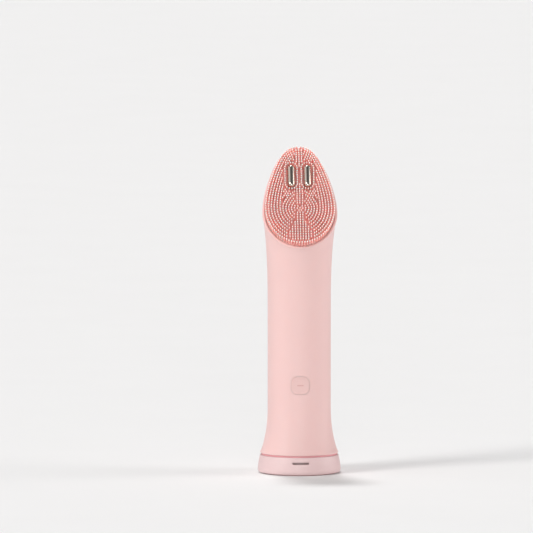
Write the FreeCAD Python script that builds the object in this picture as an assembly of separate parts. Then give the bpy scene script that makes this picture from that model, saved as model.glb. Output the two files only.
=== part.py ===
import FreeCAD, Part

import math
import os

from FreeCAD import Vector

# A hand-held facial skin scrubber. It stands on its foot, and its slanted brush face looks
# to the front. Millimetres; origin at the centre of the foot's underside; +Z up, front is -Y.

# ---------------------------------------------------------------- driving sizes
# Handle and foot
handle_radius = 16.75
flare_reach = 4.0           # how far the flare stands out where it meets the base cap
cap_flare = 1.25            # how far the base cap stands out further still
seam_z = 10.0               # middle of the groove between base cap and sleeve
seam_gap = 0.8              # height of that groove
flare_top_z = 33.0          # the flare runs out into the straight handle here
neck_z = 95.0               # the straight handle ends and the neck begins here

# Brush face: an egg-shaped outline in a plane that leans back from the vertical
face_lean = 33.0            # degrees
cheek_reach = 3.25          # how far the face's widest line stands out beside the handle
face_low_reach = 22.0       # from the widest line down to the lip
face_high_reach = 39.0      # from the widest line up to the tip
face_pinch = 0.62           # how much the upper flanks are drawn in
lip_reach = 3.25            # how far the lip stands out in front of the handle
neck_rise = 25.7            # from the neck's start up to the lip
flank_power = 4.5           # how late the back of the neck leaves the upright
front_power = 1.8           # how soon the front of the neck rises to the lip
neck_rings = 6
outline_poles = 24
form_overrun = 5.0          # how far a form that is cut starts below its first cut

# Walls and clearances
sleeve_wall = 1.5
shell_wall = 1.8
skin_gap = 0.1              # between the silicone sleeve and what it covers
fit_gap = 0.15              # between a piece and the pocket it drops into
touch_gap = 0.05            # between faces that rest on each other
screw_gap = 0.02            # round a screw's thread
running_gap = 0.03          # round a turning shaft

# Brush pad and bristles
bristle_length = 5.0
pad_thickness = 2.4
pad_tuck = 1.1              # how far the pad's edge sits below the rim
plate_thickness = 1.6
crown_radius = 400.0        # of the pad's domed face
crown_height = 0.5          # of the pad's surface above the rim, in the middle
bristle_margin = 1.1        # from the pad's edge to the outermost bristles

# Electrodes
electrode_width = 4.0
electrode_length = 13.2
electrode_spacing = 8.6
electrode_v = 19.2          # up the face from its widest line
electrode_proud = 0.3       # above the bristle tips
electrode_moat = 0.75       # clear width between bristles and electrode
electrode_stud_radius = 1.0
seal_radius = 1.75
seal_section_radius = 0.45
nut_radius = 2.3            # over the corners
nut_thickness = 1.2
stud_beyond_nut = 0.4

# Power button
button_z = 47.6
button_width = 10.2
button_height = 9.8
button_corner = 3.6
button_gap = 0.12
button_travel = 0.5
dish_depth = 0.45
dish_border = 1.1
key_thickness = 0.95
stem_size = 7.0
flange_size = 8.6
flange_thickness = 0.8
flange_setback = 0.95       # of the flange behind the shell's inner wall
stem_root = 0.3             # how far the stem runs into the key
light_pipe_radius = 0.4
light_pipe_drop = 2.65      # below the button's centre
light_pipe_setback = 0.02   # of its end behind the dish

# Board, switch and chips
board_width = 18.0
board_thickness = 1.0
board_front_y = -8.0
board_low_z = 30.0
board_below_neck = 5.0
board_post_x = 6.0
board_post_inset = 3.5
post_radius = 1.9
switch_width = 4.6
switch_height = 3.4
switch_depth = 2.2
plunger_radius = 1.1
plunger_length = 2.05
plunger_end_gap = 0.1       # left behind the plunger when it is pressed

# Chips: across, height, width, length and thickness of each
chip_layout = (
    (0.0, 62.0, 6.0, 6.0, 0.9),
    (-5.0, 72.0, 4.0, 5.0, 1.2),
    (4.5, 75.0, 5.0, 4.0, 1.4),
    (4.0, 40.0, 3.0, 3.0, 0.9),
    (-4.5, 53.5, 2.0, 3.6, 1.1),
    (5.5, 52.0, 3.6, 2.0, 1.1),
)
coil_x = -1.0
coil_z = 81.5
coil_radius = 3.0
coil_height = 2.6
coil_core_radius = 2.2
coil_flange = 0.7
led_width = 1.6
led_length = 0.8
led_thickness = 0.7

# Battery
cell_radius = 7.1
cell_length = 50.0
cell_low_z = 34.0
cell_y = 2.8
cell_end_gap = 0.35         # between the cell and the cradle's ends
nub_height = 0.8            # of the cell's raised terminal
nub_radius = 2.84
cradle_wall = 1.2
chassis_clearance = 0.45    # between the chassis and the shell
chassis_foot_thickness = 2.0
chassis_foot_bore = 8.0
cradle_gap = 0.15
cell_window = 9.2           # opening in the cradle's front
spine_half_width = 3.5
brace_front_y = 0.8
brace_thickness = 1.4       # of the web between the upper board posts and the spine
tab_thickness = 0.2
tab_width = 5.0
tab_reach = 0.9             # how far a tab stands out in front of the cell
tab_back = 2.0              # how far it runs past the cell's middle
lead_setback = 0.8          # of a wire behind the tab's front edge
battery_lead_rise = 2.3

# Vibration motor
motor_y = 1.0
motor_above_neck = 2.0
motor_radius = 5.2
motor_length = 18.0
motor_wall = 0.5
shaft_radius = 1.0
rotor_radius = 3.3
magnet_bore = 3.7
bush_radius = 2.4
bush_length = 1.6
press_gap = 0.01
motor_pad_x = 2.5
electrode_pad_x = 7.5
boot_wall = 1.1
bracket_wall = 1.4
bracket_height = 16.0
weight_radius = 5.5
weight_hub_radius = 2.2
weight_height = 7.5
weight_gap = 2.5            # between the motor and the weight
shaft_beyond_weight = 1.0
shaft_end_gap = 0.3         # between the shaft's lower end and the motor's case
magnet_end_gap = 3.0
magnet_split = 2.4
rotor_end_gap = 3.2
motor_lead_drop = 3.4
motor_lead_rise = 3.0
lead_slot_width = 8.4
lead_slot_depth = 4.0

# End plug, charging socket and base cap
flange_radius = 17.5
flange_thickness_z = 1.6
flange_lip_inset = 0.85     # of the lip that backs the seam, behind the sleeve's foot
plug_floor_thickness = 2.75
plug_height = 6.65          # of its barrel above the flange
plug_wall = 2.4
plug_boss_radius = 2.2
spigot_radius = 15.0
spigot_wall = 2.6
spigot_low_z = 3.4
charge_post_y = 3.4
charge_post_radius = 1.0
post_root = 0.5             # how far posts and bosses run into the plug's floor
boss_clearance = 0.2        # between the bosses and the barrel's outside
charge_board_width = 12.0
charge_board_depth = 9.0
charge_board_thickness = 0.8
charge_pad_x = 3.0
charge_pad_y = -2.4
charge_lead_rise = 4.6
tongue_width = 6.7
tongue_thickness = 0.7
tongue_setback = 0.6
socket_width = 8.94
socket_depth = 3.2
socket_length = 7.3
socket_low_z = 9.0
socket_wall = 0.3
ring_section_radius = 0.8   # rubber ring between plug and shell
ring_z = 14.6
cap_ring_section_radius = 0.6
cap_ring_z = 6.0
ring_squeeze_gap = 0.02
cap_wall = 1.8
cap_floor_thickness = 1.6
collar_wall = 1.5
collar_clearance = 0.3      # between collar and plug when the cap is on
toe_round = 0.9             # how far the cap's foot is rounded in
cap_edge_z = 0.35           # lowest edge of the cap's side wall
cap_widest_z = 2.2
flank_bow = 0.17            # how far the cap's flank bows out of a straight line
toe_bow_in = 0.3            # the toe's rounding, at its middle: in from the widest line
toe_bow_up = 0.5            # and up from the lowest edge
foot_pad_wall = 1.8         # of the cap round the foot pad
foot_pad_thickness = 1.1
foot_pad_round = 0.35
slot_width = 8.7
slot_height = 1.1
slot_z = 6.6

# Fasteners and wires
screw_radius = 0.9
board_screw_tip_y = -4.0
plug_screw_length = 16.0
screw_head_radius = 1.7
screw_head_height = 1.2
screw_recess_radius = 0.76
screw_recess_depth = 0.6
screw_end_gap = 0.2         # left beyond a screw's tip
lead_radius = 0.5

# ---------------------------------------------------------------- worked-out places
seam_radius = handle_radius + flare_reach
foot_radius = seam_radius + cap_flare
face_half_width = handle_radius + cheek_reach
lip_z = neck_z + neck_rise
board_high_z = neck_z - board_below_neck
motor_low_z = neck_z + motor_above_neck
sleeve_low_z = seam_z + seam_gap / 2
cap_top_z = seam_z - seam_gap / 2
shell_inset = sleeve_wall + skin_gap
cavity_inset = shell_inset + shell_wall
cavity_radius = handle_radius - cavity_inset
shell_radius = handle_radius - shell_inset

face_turn = 90.0 - face_lean
lip_y = -(handle_radius + lip_reach)
face_up = Vector(0, math.cos(math.radians(face_turn)), math.sin(math.radians(face_turn)))
face_out = Vector(0, -face_up.z, face_up.y)
face_centre = Vector(0, lip_y, lip_z) + face_up * face_low_reach
tip = face_centre + face_up * face_high_reach
face_place = FreeCAD.Placement(face_centre, FreeCAD.Rotation(Vector(1, 0, 0), face_turn))

pad_low_w = crown_height - pad_thickness - pad_tuck
plate_low_w = pad_low_w - touch_gap - plate_thickness
shell_top_w = plate_low_w - touch_gap
plate_top_w = plate_low_w + plate_thickness
seal_w = plate_top_w - seal_section_radius - touch_gap
nut_top_w = plate_low_w - touch_gap
stud_low_w = nut_top_w - nut_thickness - stud_beyond_nut
bristle_top_w = crown_height + bristle_length
crown_v = (face_high_reach - face_low_reach) / 2

board_back_y = board_front_y + board_thickness
board_mid_y = board_front_y + board_thickness / 2
switch_front_y = board_front_y - switch_depth
key_back_radius = handle_radius - key_thickness
flange_front_y = -(cavity_radius - flange_setback)
flange_back_y = flange_front_y + flange_thickness
plunger_back_y = flange_back_y + touch_gap + plunger_length
light_pipe_front_y = -handle_radius + dish_depth + light_pipe_setback

cell_high_z = cell_low_z + cell_length
pocket_radius = cell_radius + cradle_gap
cradle_radius = pocket_radius + cradle_wall
cradle_end = cell_end_gap + cradle_wall
tab_front_y = cell_y - cell_radius - tab_reach
motor_high_z = motor_low_z + motor_length
weight_low_z = motor_high_z + weight_gap
shaft_high_z = weight_low_z + weight_height + shaft_beyond_weight
bracket_bore = motor_radius + boot_wall + 2 * touch_gap
bracket_radius = bracket_bore + bracket_wall
bracket_high_z = motor_low_z + bracket_height

plug_flange_high_z = sleeve_low_z - touch_gap
plug_flange_low_z = plug_flange_high_z - flange_thickness_z
plug_floor_top_z = plug_flange_low_z + plug_floor_thickness
plug_top_z = plug_flange_high_z + plug_height
plug_radius = cavity_radius - fit_gap
flange_lip_radius = seam_radius - flange_lip_inset
flange_lip_low_z = cap_top_z + touch_gap
chassis_radius = cavity_radius - chassis_clearance
spine_back_y = math.sqrt(chassis_radius ** 2 - spine_half_width ** 2)
chassis_foot_high_z = plug_top_z + chassis_foot_thickness
foot_pad_radius = foot_radius - foot_pad_wall
socket_high_z = socket_low_z + socket_length
ring_centre_radius = cavity_radius - ring_squeeze_gap - ring_section_radius
collar_radius = spigot_radius + fit_gap
cap_ring_centre_radius = collar_radius - ring_squeeze_gap - cap_ring_section_radius
cap_floor_top_z = foot_pad_thickness + touch_gap + cap_floor_thickness

plug_screw_x = 8.6
plug_screw_y = 5.2
plug_screw_head_z = plug_flange_low_z + 0.2
plug_screw_tip_z = plug_screw_head_z + plug_screw_length


# ---------------------------------------------------------------- small helpers
def box(x0, x1, y0, y1, z0, z1):
    return Part.makeBox(x1 - x0, y1 - y0, z1 - z0, Vector(x0, y0, z0))


def rod(radius, start, end):
    """A round bar from one point to another."""
    along = end - start
    return Part.makeCylinder(radius, along.Length, start, along)


def tube(outer, inner, start, end):
    return rod(outer, start, end).cut(rod(inner, start, end))


def rounded_wire(width, height, corner):
    """A rounded rectangle in the XY plane, round the origin."""
    x, y, r = width / 2, height / 2, corner
    edges = []
    for sx, sy, start in ((1, 1, 0), (-1, 1, 90), (-1, -1, 180), (1, -1, 270)):
        centre = Vector(sx * (x - r), sy * (y - r), 0)
        arc = Part.Circle(centre, Vector(0, 0, 1), r)
        edges.append(Part.Arc(arc, math.radians(start), math.radians(start + 90)).toShape())
    closed = []
    for this, following in zip(edges, edges[1:] + edges[:1]):
        closed.append(this)
        gap_start = this.Vertexes[-1].Point
        gap_end = following.Vertexes[0].Point
        if gap_start.distanceToPoint(gap_end) > 1e-6:
            closed.append(Part.makeLine(gap_start, gap_end))
    return Part.Wire(closed)


def rounded_bar(width, height, corner, low, high):
    """A rounded-rectangle prism standing on the XY plane, from low to high."""
    bar = Part.Face(rounded_wire(width, height, corner)).extrude(Vector(0, 0, high - low))
    bar.translate(Vector(0, 0, low))
    return bar


def facing_front(shape, z):
    """Turns a shape built on the XY plane to look to the front (-Y), at height z."""
    shape.Placement = FreeCAD.Placement(
        Vector(0, 0, z), FreeCAD.Rotation(Vector(1, 0, 0), 90)
    ).multiply(shape.Placement)
    return shape


def on_face(shape):
    """Carries a shape built flat on the XY plane to the slanted brush face."""
    placed = shape.copy()
    placed.Placement = face_place.multiply(placed.Placement)
    return placed


def on_axis(y, z):
    """A point in the middle plane of the object."""
    return Vector(0, y, z)


def on_face_point(u, v, w):
    """A point of the brush face: u across, v up the face, w out of it."""
    return face_place.multVec(Vector(u, v, w))


def face_rod(radius, u, v, low_w, high_w):
    """A round bar square to the brush face."""
    return rod(radius, on_face_point(u, v, low_w), on_face_point(u, v, high_w))


def face_rod_along(radius, u, low_v, high_v, w):
    """A round bar lying up the brush face."""
    return rod(radius, on_face_point(u, low_v, w), on_face_point(u, high_v, w))


def capsule(width, length, u, v, low_w, high_w):
    """A round-ended bar standing on the brush face."""
    bar = rounded_bar(width, length, width / 2, low_w, high_w)
    bar.translate(Vector(u, v, 0))
    return on_face(bar)


def seal_ring(u, v, section_radius):
    """A ring round an electrode's stud, sunk in the face plate."""
    ring = Part.makeTorus(seal_radius, section_radius, Vector(u, v, seal_w))
    return on_face(ring)


def torus(radius, section_radius, z):
    """A ring round the object's axis."""
    return Part.makeTorus(radius, section_radius, Vector(0, 0, z))


def handle_cylinder(radius):
    """A bar on the object's axis, as long as the button needs."""
    return rod(radius, on_axis(0, button_z - button_height), on_axis(0, button_z + button_height))


def light_pipe_rod(radius, low_y, high_y):
    z = button_z - light_pipe_drop
    return rod(radius, on_axis(low_y, z), on_axis(high_y, z))


def socket_bar(grow, low, high):
    """A prism of the charging socket's outline, grown by grow."""
    width, depth = socket_width + 2 * grow, socket_depth + 2 * grow
    return rounded_bar(width, depth, depth / 2 - 0.01, low, high)


def fused(shapes):
    whole = shapes[0]
    for shape in shapes[1:]:
        whole = whole.fuse(shape)
    return whole.removeSplitter()


def screw(head_point, tip_point):
    """A pan-head screw with a cross recess, its head's top at head_point."""
    along = (tip_point - head_point).normalize()
    seat = head_point + along * screw_head_height
    body = rod(screw_head_radius, head_point, seat).fuse(rod(screw_radius, seat, tip_point))
    recess = rod(screw_recess_radius, head_point, head_point + along * screw_recess_depth)
    return body.cut(recess)


def lead(points, radius):
    """A round wire along straight runs joined by tangent arcs."""
    reach_share = 0.45
    edges = []
    start = points[0]
    for before, corner, after in zip(points, points[1:], points[2:]):
        back = (before - corner).normalize()
        ahead = (after - corner).normalize()
        half_turn = (math.pi - back.getAngle(ahead)) / 2
        reach = reach_share * min(before.distanceToPoint(corner), after.distanceToPoint(corner))
        bend = reach / math.tan(half_turn)
        middle = (back + ahead).normalize() * (math.hypot(reach, bend) - bend)
        arc_start = corner + back * reach
        arc_end = corner + ahead * reach
        edges.append(Part.makeLine(start, arc_start))
        edges.append(Part.Arc(arc_start, corner + middle, arc_end).toShape())
        start = arc_end
    edges.append(Part.makeLine(start, points[-1]))
    path = Part.Wire(edges)
    section = Part.Wire(Part.makeCircle(radius, points[0], points[1] - points[0]))
    return path.makePipeShell([section], True, True)


# ---------------------------------------------------------------- the body's outer form
def egg_poles(place, half_width, low, high, pinch):
    """Control points of an egg outline: round below its widest line, drawn out above it."""
    swell = 3 / (2 + math.cos(2 * math.pi / outline_poles))
    poles = []
    for step in range(outline_poles):
        turn = math.pi / 2 + 2 * math.pi * step / outline_poles
        across, along = math.cos(turn), math.sin(turn)
        if along > 0:
            x = half_width * across * (1 - pinch * along * along * (1 - along))
            y = high * along
        else:
            x = half_width * across
            y = low * along
        poles.append(place.multVec(Vector(x * swell, y * swell, 0)))
    return poles


def egg_wire(place, half_width, low, high, pinch):
    """The closed outline that those control points draw."""
    curve = Part.BSplineCurve()
    knots = list(range(outline_poles + 1))
    poles = egg_poles(place, half_width, low, high, pinch)
    curve.buildFromPolesMultsKnots(poles, [1] * len(knots), knots, True, 3)
    return Part.Wire(curve.toShape())


def tube_solid(rows):
    """The closed solid inside a smooth surface drawn by rows of control points."""
    surface = Part.BSplineSurface()
    around = list(range(outline_poles + 1))
    along = list(range(len(rows) - 2))
    mults = [4] + [1] * (len(along) - 2) + [4]
    columns = [[row[step] for row in rows] for step in range(outline_poles)]
    surface.buildFromPolesMultsKnots(
        columns, [1] * len(around), mults, around, along, True, False, 3, 3
    )
    side = surface.toShape()
    ends = []
    for end in (along[0], along[-1]):
        ends.append(Part.Face(Part.Wire(surface.vIso(end).toShape())))
    shell = Part.makeShell([side] + ends)
    shell.sewShape()
    return Part.makeSolid(shell)


def flare_radius(z):
    """Radius of the handle's flare: a parabola that runs out into the straight handle."""
    rise = max(0.0, (flare_top_z - z) / (flare_top_z - seam_z))
    return handle_radius + (seam_radius - handle_radius) * rise ** 2


def circle_ring(z, radius):
    place = FreeCAD.Placement(Vector(0, 0, z), FreeCAD.Rotation())
    return egg_poles(place, radius, radius, radius, 0.0)


def neck_ring(share, inset):
    """One section of the neck and head: share 0 is the level handle, share 1 the brush face,
    and a share above 1 carries the form on past the face."""
    turn = face_turn * share
    slope = math.radians(turn)
    front_y = -(handle_radius + lip_reach * share ** 2)
    front_z = neck_z + (lip_z - neck_z) * (1 - max(0.0, 1 - share) ** front_power)
    back_y = handle_radius - (handle_radius - tip.y) * share ** flank_power
    length = (back_y - front_y) / math.cos(slope)
    low = handle_radius + (face_low_reach - handle_radius) * share ** 2
    half_width = handle_radius + (face_half_width - handle_radius) * share ** 1.7
    direction = Vector(0, math.cos(slope), math.sin(slope))
    centre = Vector(0, front_y, front_z) + direction * low
    place = FreeCAD.Placement(centre, FreeCAD.Rotation(Vector(1, 0, 0), turn))
    return egg_poles(
        place, half_width - inset, low - inset, length - low - inset, face_pinch * share ** 2
    )


def body_form(inset, low_z, flared):
    """The solid inside the body's outer surface, moved in by inset. It ends at the brush face,
    or runs straight on past it where it is moved in, so that it cuts or is cut cleanly."""
    rings = []
    if flared:
        flare_steps = 6
        for step in range(flare_steps):
            z = low_z + (flare_top_z - low_z) * step / flare_steps
            rings.append(circle_ring(z, flare_radius(z) - inset))
        straight_low = flare_top_z
    else:
        straight_low = low_z
    straight_steps = 4
    for step in range(straight_steps):
        z = straight_low + (neck_z - straight_low) * step / straight_steps
        rings.append(circle_ring(z, handle_radius - inset))
    last_ring = neck_rings + 1 if inset > 0 else neck_rings
    for step in range(last_ring + 1):
        rings.append(neck_ring(step / neck_rings, inset))
    return tube_solid(rings)


def face_slab(low_w, high_w, margin=40.0):
    """Everything between two planes parallel to the brush face."""
    size = face_low_reach + face_high_reach + 2 * margin
    slab = Part.makeBox(
        size, size, high_w - low_w,
        Vector(-size / 2, -face_low_reach - margin, low_w),
    )
    return on_face(slab)


def face_prism(inset, low_w, high_w):
    """A prism of the face's outline, moved in by inset."""
    outline = egg_wire(
        FreeCAD.Placement(), face_half_width - inset, face_low_reach - inset,
        face_high_reach - inset, face_pinch,
    )
    prism = Part.Face(outline).extrude(Vector(0, 0, high_w - low_w))
    prism.translate(Vector(0, 0, low_w))
    return on_face(prism)


def crown(top_w):
    """The ball that domes the pad, its top at top_w above the face's plane."""
    ball = Part.makeSphere(crown_radius, Vector(0, crown_v, top_w - crown_radius))
    return on_face(ball)


def button_bar(grow, low_y, high_y):
    """A prism of the button's outline along Y, grown by grow."""
    bar = rounded_bar(
        button_width + 2 * grow, button_height + 2 * grow, button_corner + grow,
        -high_y, -low_y,
    )
    return facing_front(bar, button_z)


def stem_bar(size, low_y, high_y):
    return facing_front(rounded_bar(size, size, size * 0.3, -high_y, -low_y), button_z)


def electrode_places():
    for side in (-1, 1):
        yield side * electrode_spacing / 2, electrode_v


# ---------------------------------------------------------------- casing
def silicone_sleeve():
    """Soft outer skin of handle, neck and head, open at the face, the foot and the button."""
    outer = body_form(0.0, sleeve_low_z, True)
    inner = body_form(sleeve_wall, sleeve_low_z - 1.0, True)
    window = button_bar(0.0, -handle_radius - 3.0, -handle_radius / 2)
    return outer.cut(inner).cut(window)


def main_shell():
    """One-piece rigid shell: closed by the face plate on top and by the end plug below."""
    outer = body_form(shell_inset, sleeve_low_z, True)
    inner = body_form(cavity_inset, sleeve_low_z - 1.0, False)
    above = face_slab(shell_top_w, 30.0)
    hole = stem_bar(stem_size + 2 * fit_gap, -handle_radius, -handle_radius / 2)
    return outer.cut(inner).cut(above).cut(hole)


def face_plate():
    """Rigid plate welded on the shell's slanted mouth; it carries the electrodes."""
    plate = body_form(shell_inset, neck_z - form_overrun, False).common(face_slab(plate_low_w, plate_top_w))
    below, above = plate_low_w - 1.0, plate_top_w + 1.0
    for u, v in electrode_places():
        plate = plate.cut(face_rod(electrode_stud_radius + fit_gap, u, v, below, above))
        plate = plate.cut(seal_ring(u, v, seal_section_radius + touch_gap / 2))
        plate = plate.cut(face_rod(seal_radius, u, v, seal_w, above))
    return plate


def brush_pad():
    """Soft pad with its field of bristles, drawn here as the space the bristles fill."""
    sunk = body_form(shell_inset, neck_z - form_overrun, False).common(face_slab(pad_low_w, 0.0))
    room = sunk.fuse(face_prism(shell_inset, 0.0, bristle_top_w + 1.0))
    field = face_prism(shell_inset + bristle_margin, pad_low_w, bristle_top_w + 1.0)
    field = field.common(crown(bristle_top_w)).common(room)
    pad = room.common(crown(crown_height)).fuse(field)
    for u, v in electrode_places():
        pad = pad.cut(capsule(electrode_width + 2 * fit_gap, electrode_length + 2 * fit_gap,
                              u, v, pad_low_w - 1.0, bristle_top_w + 2.0))
        pad = pad.cut(capsule(electrode_width + 2 * electrode_moat,
                              electrode_length + 2 * electrode_moat,
                              u, v, crown_height, bristle_top_w + 2.0))
    return pad.removeSplitter()


# ---------------------------------------------------------------- electrodes
def electrode(side):
    """A half-round steel bar with a threaded stud behind it."""
    u, v = side * electrode_spacing / 2, electrode_v
    top = bristle_top_w + electrode_proud
    radius = electrode_width / 2
    reach = electrode_length / 2 - radius
    shape = capsule(electrode_width, electrode_length, u, v, pad_low_w, top - radius)
    ridge = face_rod_along(radius, u, v - reach, v + reach, top - radius)
    shape = shape.fuse(ridge)
    for end in (v - reach, v + reach):
        ball = Part.makeSphere(radius, Vector(u, end, top - radius))
        shape = shape.fuse(on_face(ball))
    stud = face_rod(electrode_stud_radius, u, v, stud_low_w, pad_low_w + 0.5)
    return shape.fuse(stud)


def electrode_seals():
    """Rubber rings under the electrodes, in grooves of the face plate."""
    return Part.Compound([seal_ring(u, v, seal_section_radius) for u, v in electrode_places()])


def electrode_nuts():
    """Hexagon nuts that draw the electrodes down on their seals."""
    nuts = []
    for u, v in electrode_places():
        corners = []
        for step in range(7):
            turn = math.radians(60 * step)
            corners.append(Vector(u + nut_radius * math.cos(turn), v + nut_radius * math.sin(turn),
                                  nut_top_w - nut_thickness))
        prism = Part.Face(Part.makePolygon(corners)).extrude(Vector(0, 0, nut_thickness))
        hole = face_rod(electrode_stud_radius + screw_gap, u, v, stud_low_w - 1, pad_low_w)
        nuts.append(on_face(prism).cut(hole))
    return Part.Compound(nuts)


def electrode_leads():
    """Two wires from the electrodes, past the motor, to the board's top edge."""
    wires = []
    for side in (-1, 1):
        start = on_face_point(side * electrode_spacing / 2, electrode_v, stud_low_w - touch_gap)
        inward = start - face_out * 2.2
        wires.append(lead([
            start,
            inward,
            Vector(side * 8.4, 5.6, motor_high_z + 13.0),
            Vector(side * 9.6, -0.6, motor_low_z + 8.0),
            Vector(side * electrode_pad_x, board_mid_y, board_high_z + 4.5),
            Vector(side * electrode_pad_x, board_mid_y, board_high_z + touch_gap),
        ], lead_radius))
    return Part.Compound(wires)


# ---------------------------------------------------------------- power button
def power_button():
    """Dished key with a stem through the shell and a flange that keeps it in."""
    key = button_bar(-button_gap, -handle_radius - 1.0, -handle_radius / 2)
    key = key.common(handle_cylinder(handle_radius)).cut(handle_cylinder(key_back_radius))
    dish_reach = button_width / 2 - dish_border
    dish_radius = (dish_reach ** 2 + dish_depth ** 2) / (2 * dish_depth)
    dish_centre = Vector(0, -handle_radius + dish_depth - dish_radius, button_z)
    key = key.cut(Part.makeSphere(dish_radius, dish_centre))
    stem = stem_bar(stem_size, -key_back_radius - stem_root, flange_back_y)
    flange = stem_bar(flange_size, flange_front_y, flange_back_y)
    hole_radius = light_pipe_radius + screw_gap
    pipe_hole = light_pipe_rod(hole_radius, -handle_radius - 1.0, flange_back_y + 1.0)
    return key.fuse(stem).fuse(flange).cut(pipe_hole)


def button_light_pipe():
    """Clear rod that carries the indicator's light to the key's surface."""
    return light_pipe_rod(light_pipe_radius, light_pipe_front_y, flange_back_y)


def tact_switch():
    """Switch body on the board, open at the front for its plunger."""
    body = box(-switch_width / 2, switch_width / 2, switch_front_y, board_front_y - touch_gap,
               button_z - switch_height / 2, button_z + switch_height / 2)
    well = rod(plunger_radius + running_gap, Vector(0, switch_front_y - 1.0, button_z),
               Vector(0, plunger_back_y + button_travel + plunger_end_gap, button_z))
    return body.cut(well)


def switch_plunger():
    return rod(plunger_radius, Vector(0, flange_back_y + touch_gap, button_z),
               Vector(0, plunger_back_y, button_z))


# ---------------------------------------------------------------- board
def main_board():
    board = box(-board_width / 2, board_width / 2, board_front_y, board_back_y,
                board_low_z, board_high_z)
    for x, z in board_post_places():
        board = board.cut(rod(screw_radius + fit_gap, Vector(x, board_front_y - 1, z),
                              Vector(x, board_back_y + 1, z)))
    return board


def board_chips():
    """Controller, charger and driver chips on the board's front."""
    chips = []
    for x, z, width, height, depth in chip_layout:
        chips.append(box(x - width / 2, x + width / 2, board_front_y - touch_gap - depth,
                         board_front_y - touch_gap, z - height / 2, z + height / 2))
    return Part.Compound(chips)


def boost_coil():
    """Drum coil that raises the voltage for the electrodes."""
    place = Vector(coil_x, board_front_y - touch_gap, coil_z)
    core = rod(coil_radius, place, place - Vector(0, coil_height, 0))
    groove = tube(coil_radius + 1.0, coil_core_radius, place - Vector(0, coil_flange, 0),
                  place - Vector(0, coil_height - coil_flange, 0))
    return core.cut(groove)


def indicator_led():
    z = button_z - light_pipe_drop
    back_y = board_front_y - touch_gap
    return box(-led_width / 2, led_width / 2, back_y - led_thickness, back_y,
               z - led_length / 2, z + led_length / 2)


def board_post_places():
    for x in (-board_post_x, board_post_x):
        for z in (board_low_z + board_post_inset, board_high_z - board_post_inset):
            yield x, z


def board_screws():
    screws = []
    for x, z in board_post_places():
        head = Vector(x, board_front_y - touch_gap - screw_head_height, z)
        screws.append(screw(head, Vector(x, board_screw_tip_y, z)))
    return Part.Compound(screws)


# ---------------------------------------------------------------- chassis
def chassis():
    """Frame that slides into the shell from below with cell, motor and board on it."""
    foot = rod(chassis_radius, on_axis(0, plug_top_z + touch_gap), on_axis(0, chassis_foot_high_z))
    foot = foot.cut(rod(chassis_foot_bore, on_axis(0, plug_top_z - 1), on_axis(0, chassis_foot_high_z + 1)))
    pieces = [foot]
    pieces.append(tube(cradle_radius, pocket_radius, on_axis(cell_y, cell_low_z - cradle_end),
                       on_axis(cell_y, cell_high_z + cradle_end)))
    for low, high in ((cell_low_z - cradle_end, cell_low_z - cradle_end + cradle_wall),
                      (cell_high_z + cradle_end - cradle_wall, cell_high_z + cradle_end)):
        pieces.append(rod(cradle_radius, on_axis(cell_y, low), on_axis(cell_y, high)))
    pieces.append(tube(bracket_radius, bracket_bore, on_axis(motor_y, motor_low_z - bracket_wall),
                       on_axis(motor_y, bracket_high_z)))
    pieces.append(rod(bracket_radius, on_axis(motor_y, motor_low_z - bracket_wall - 0.1),
                      on_axis(motor_y, motor_low_z - 0.1)))
    pieces.append(box(-spine_half_width, spine_half_width, cell_y + pocket_radius, spine_back_y,
                      plug_top_z + touch_gap, cell_high_z + cradle_end))
    pieces.append(box(-spine_half_width, spine_half_width, motor_y + bracket_bore + 0.4,
                      spine_back_y, cell_high_z, bracket_high_z))
    for x, z in board_post_places():
        pieces.append(rod(post_radius, Vector(x, board_back_y + touch_gap, z), Vector(x, cell_y, z)))
    brace_z = board_high_z - board_post_inset
    brace = box(-board_post_x, board_post_x, brace_front_y, spine_back_y,
                brace_z - brace_thickness / 2, brace_z + brace_thickness / 2)
    pieces.append(brace.common(rod(chassis_radius, on_axis(0, board_low_z), on_axis(0, board_high_z))))
    for x in (-plug_screw_x, plug_screw_x):
        pieces.append(rod(plug_boss_radius, Vector(x, plug_screw_y, plug_top_z + touch_gap),
                          Vector(x, plug_screw_y, plug_screw_tip_z + 1.0)))
    frame = fused(pieces)
    frame = frame.cut(rod(pocket_radius, on_axis(cell_y, cell_low_z - cell_end_gap),
                          on_axis(cell_y, cell_high_z + cell_end_gap)))
    frame = frame.cut(rod(bracket_bore, on_axis(motor_y, motor_low_z - touch_gap),
                          on_axis(motor_y, bracket_high_z + 1.0)))
    frame = frame.cut(box(-cell_window / 2, cell_window / 2, -cell_radius - 3.0, cell_y,
                          cell_low_z - cradle_end - 1.0, cell_high_z + cradle_end + 1.0))
    frame = frame.cut(box(-lead_slot_width / 2, lead_slot_width / 2, motor_y - lead_slot_depth / 2,
                          motor_y + lead_slot_depth / 2, motor_low_z - 3.0, motor_low_z + 1.0))
    for x, z in board_post_places():
        frame = frame.cut(rod(screw_radius + screw_gap, Vector(x, board_back_y, z),
                              Vector(x, board_screw_tip_y + screw_end_gap, z)))
    for x in (-plug_screw_x, plug_screw_x):
        frame = frame.cut(rod(screw_radius + screw_gap, Vector(x, plug_screw_y, plug_top_z),
                              Vector(x, plug_screw_y, plug_screw_tip_z + screw_end_gap)))
    return frame


# ---------------------------------------------------------------- battery
def battery_cell():
    can = rod(cell_radius, on_axis(cell_y, cell_low_z), on_axis(cell_y, cell_high_z - nub_height))
    nub = rod(nub_radius, on_axis(cell_y, cell_high_z - nub_height), on_axis(cell_y, cell_high_z))
    return can.fuse(nub)


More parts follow.
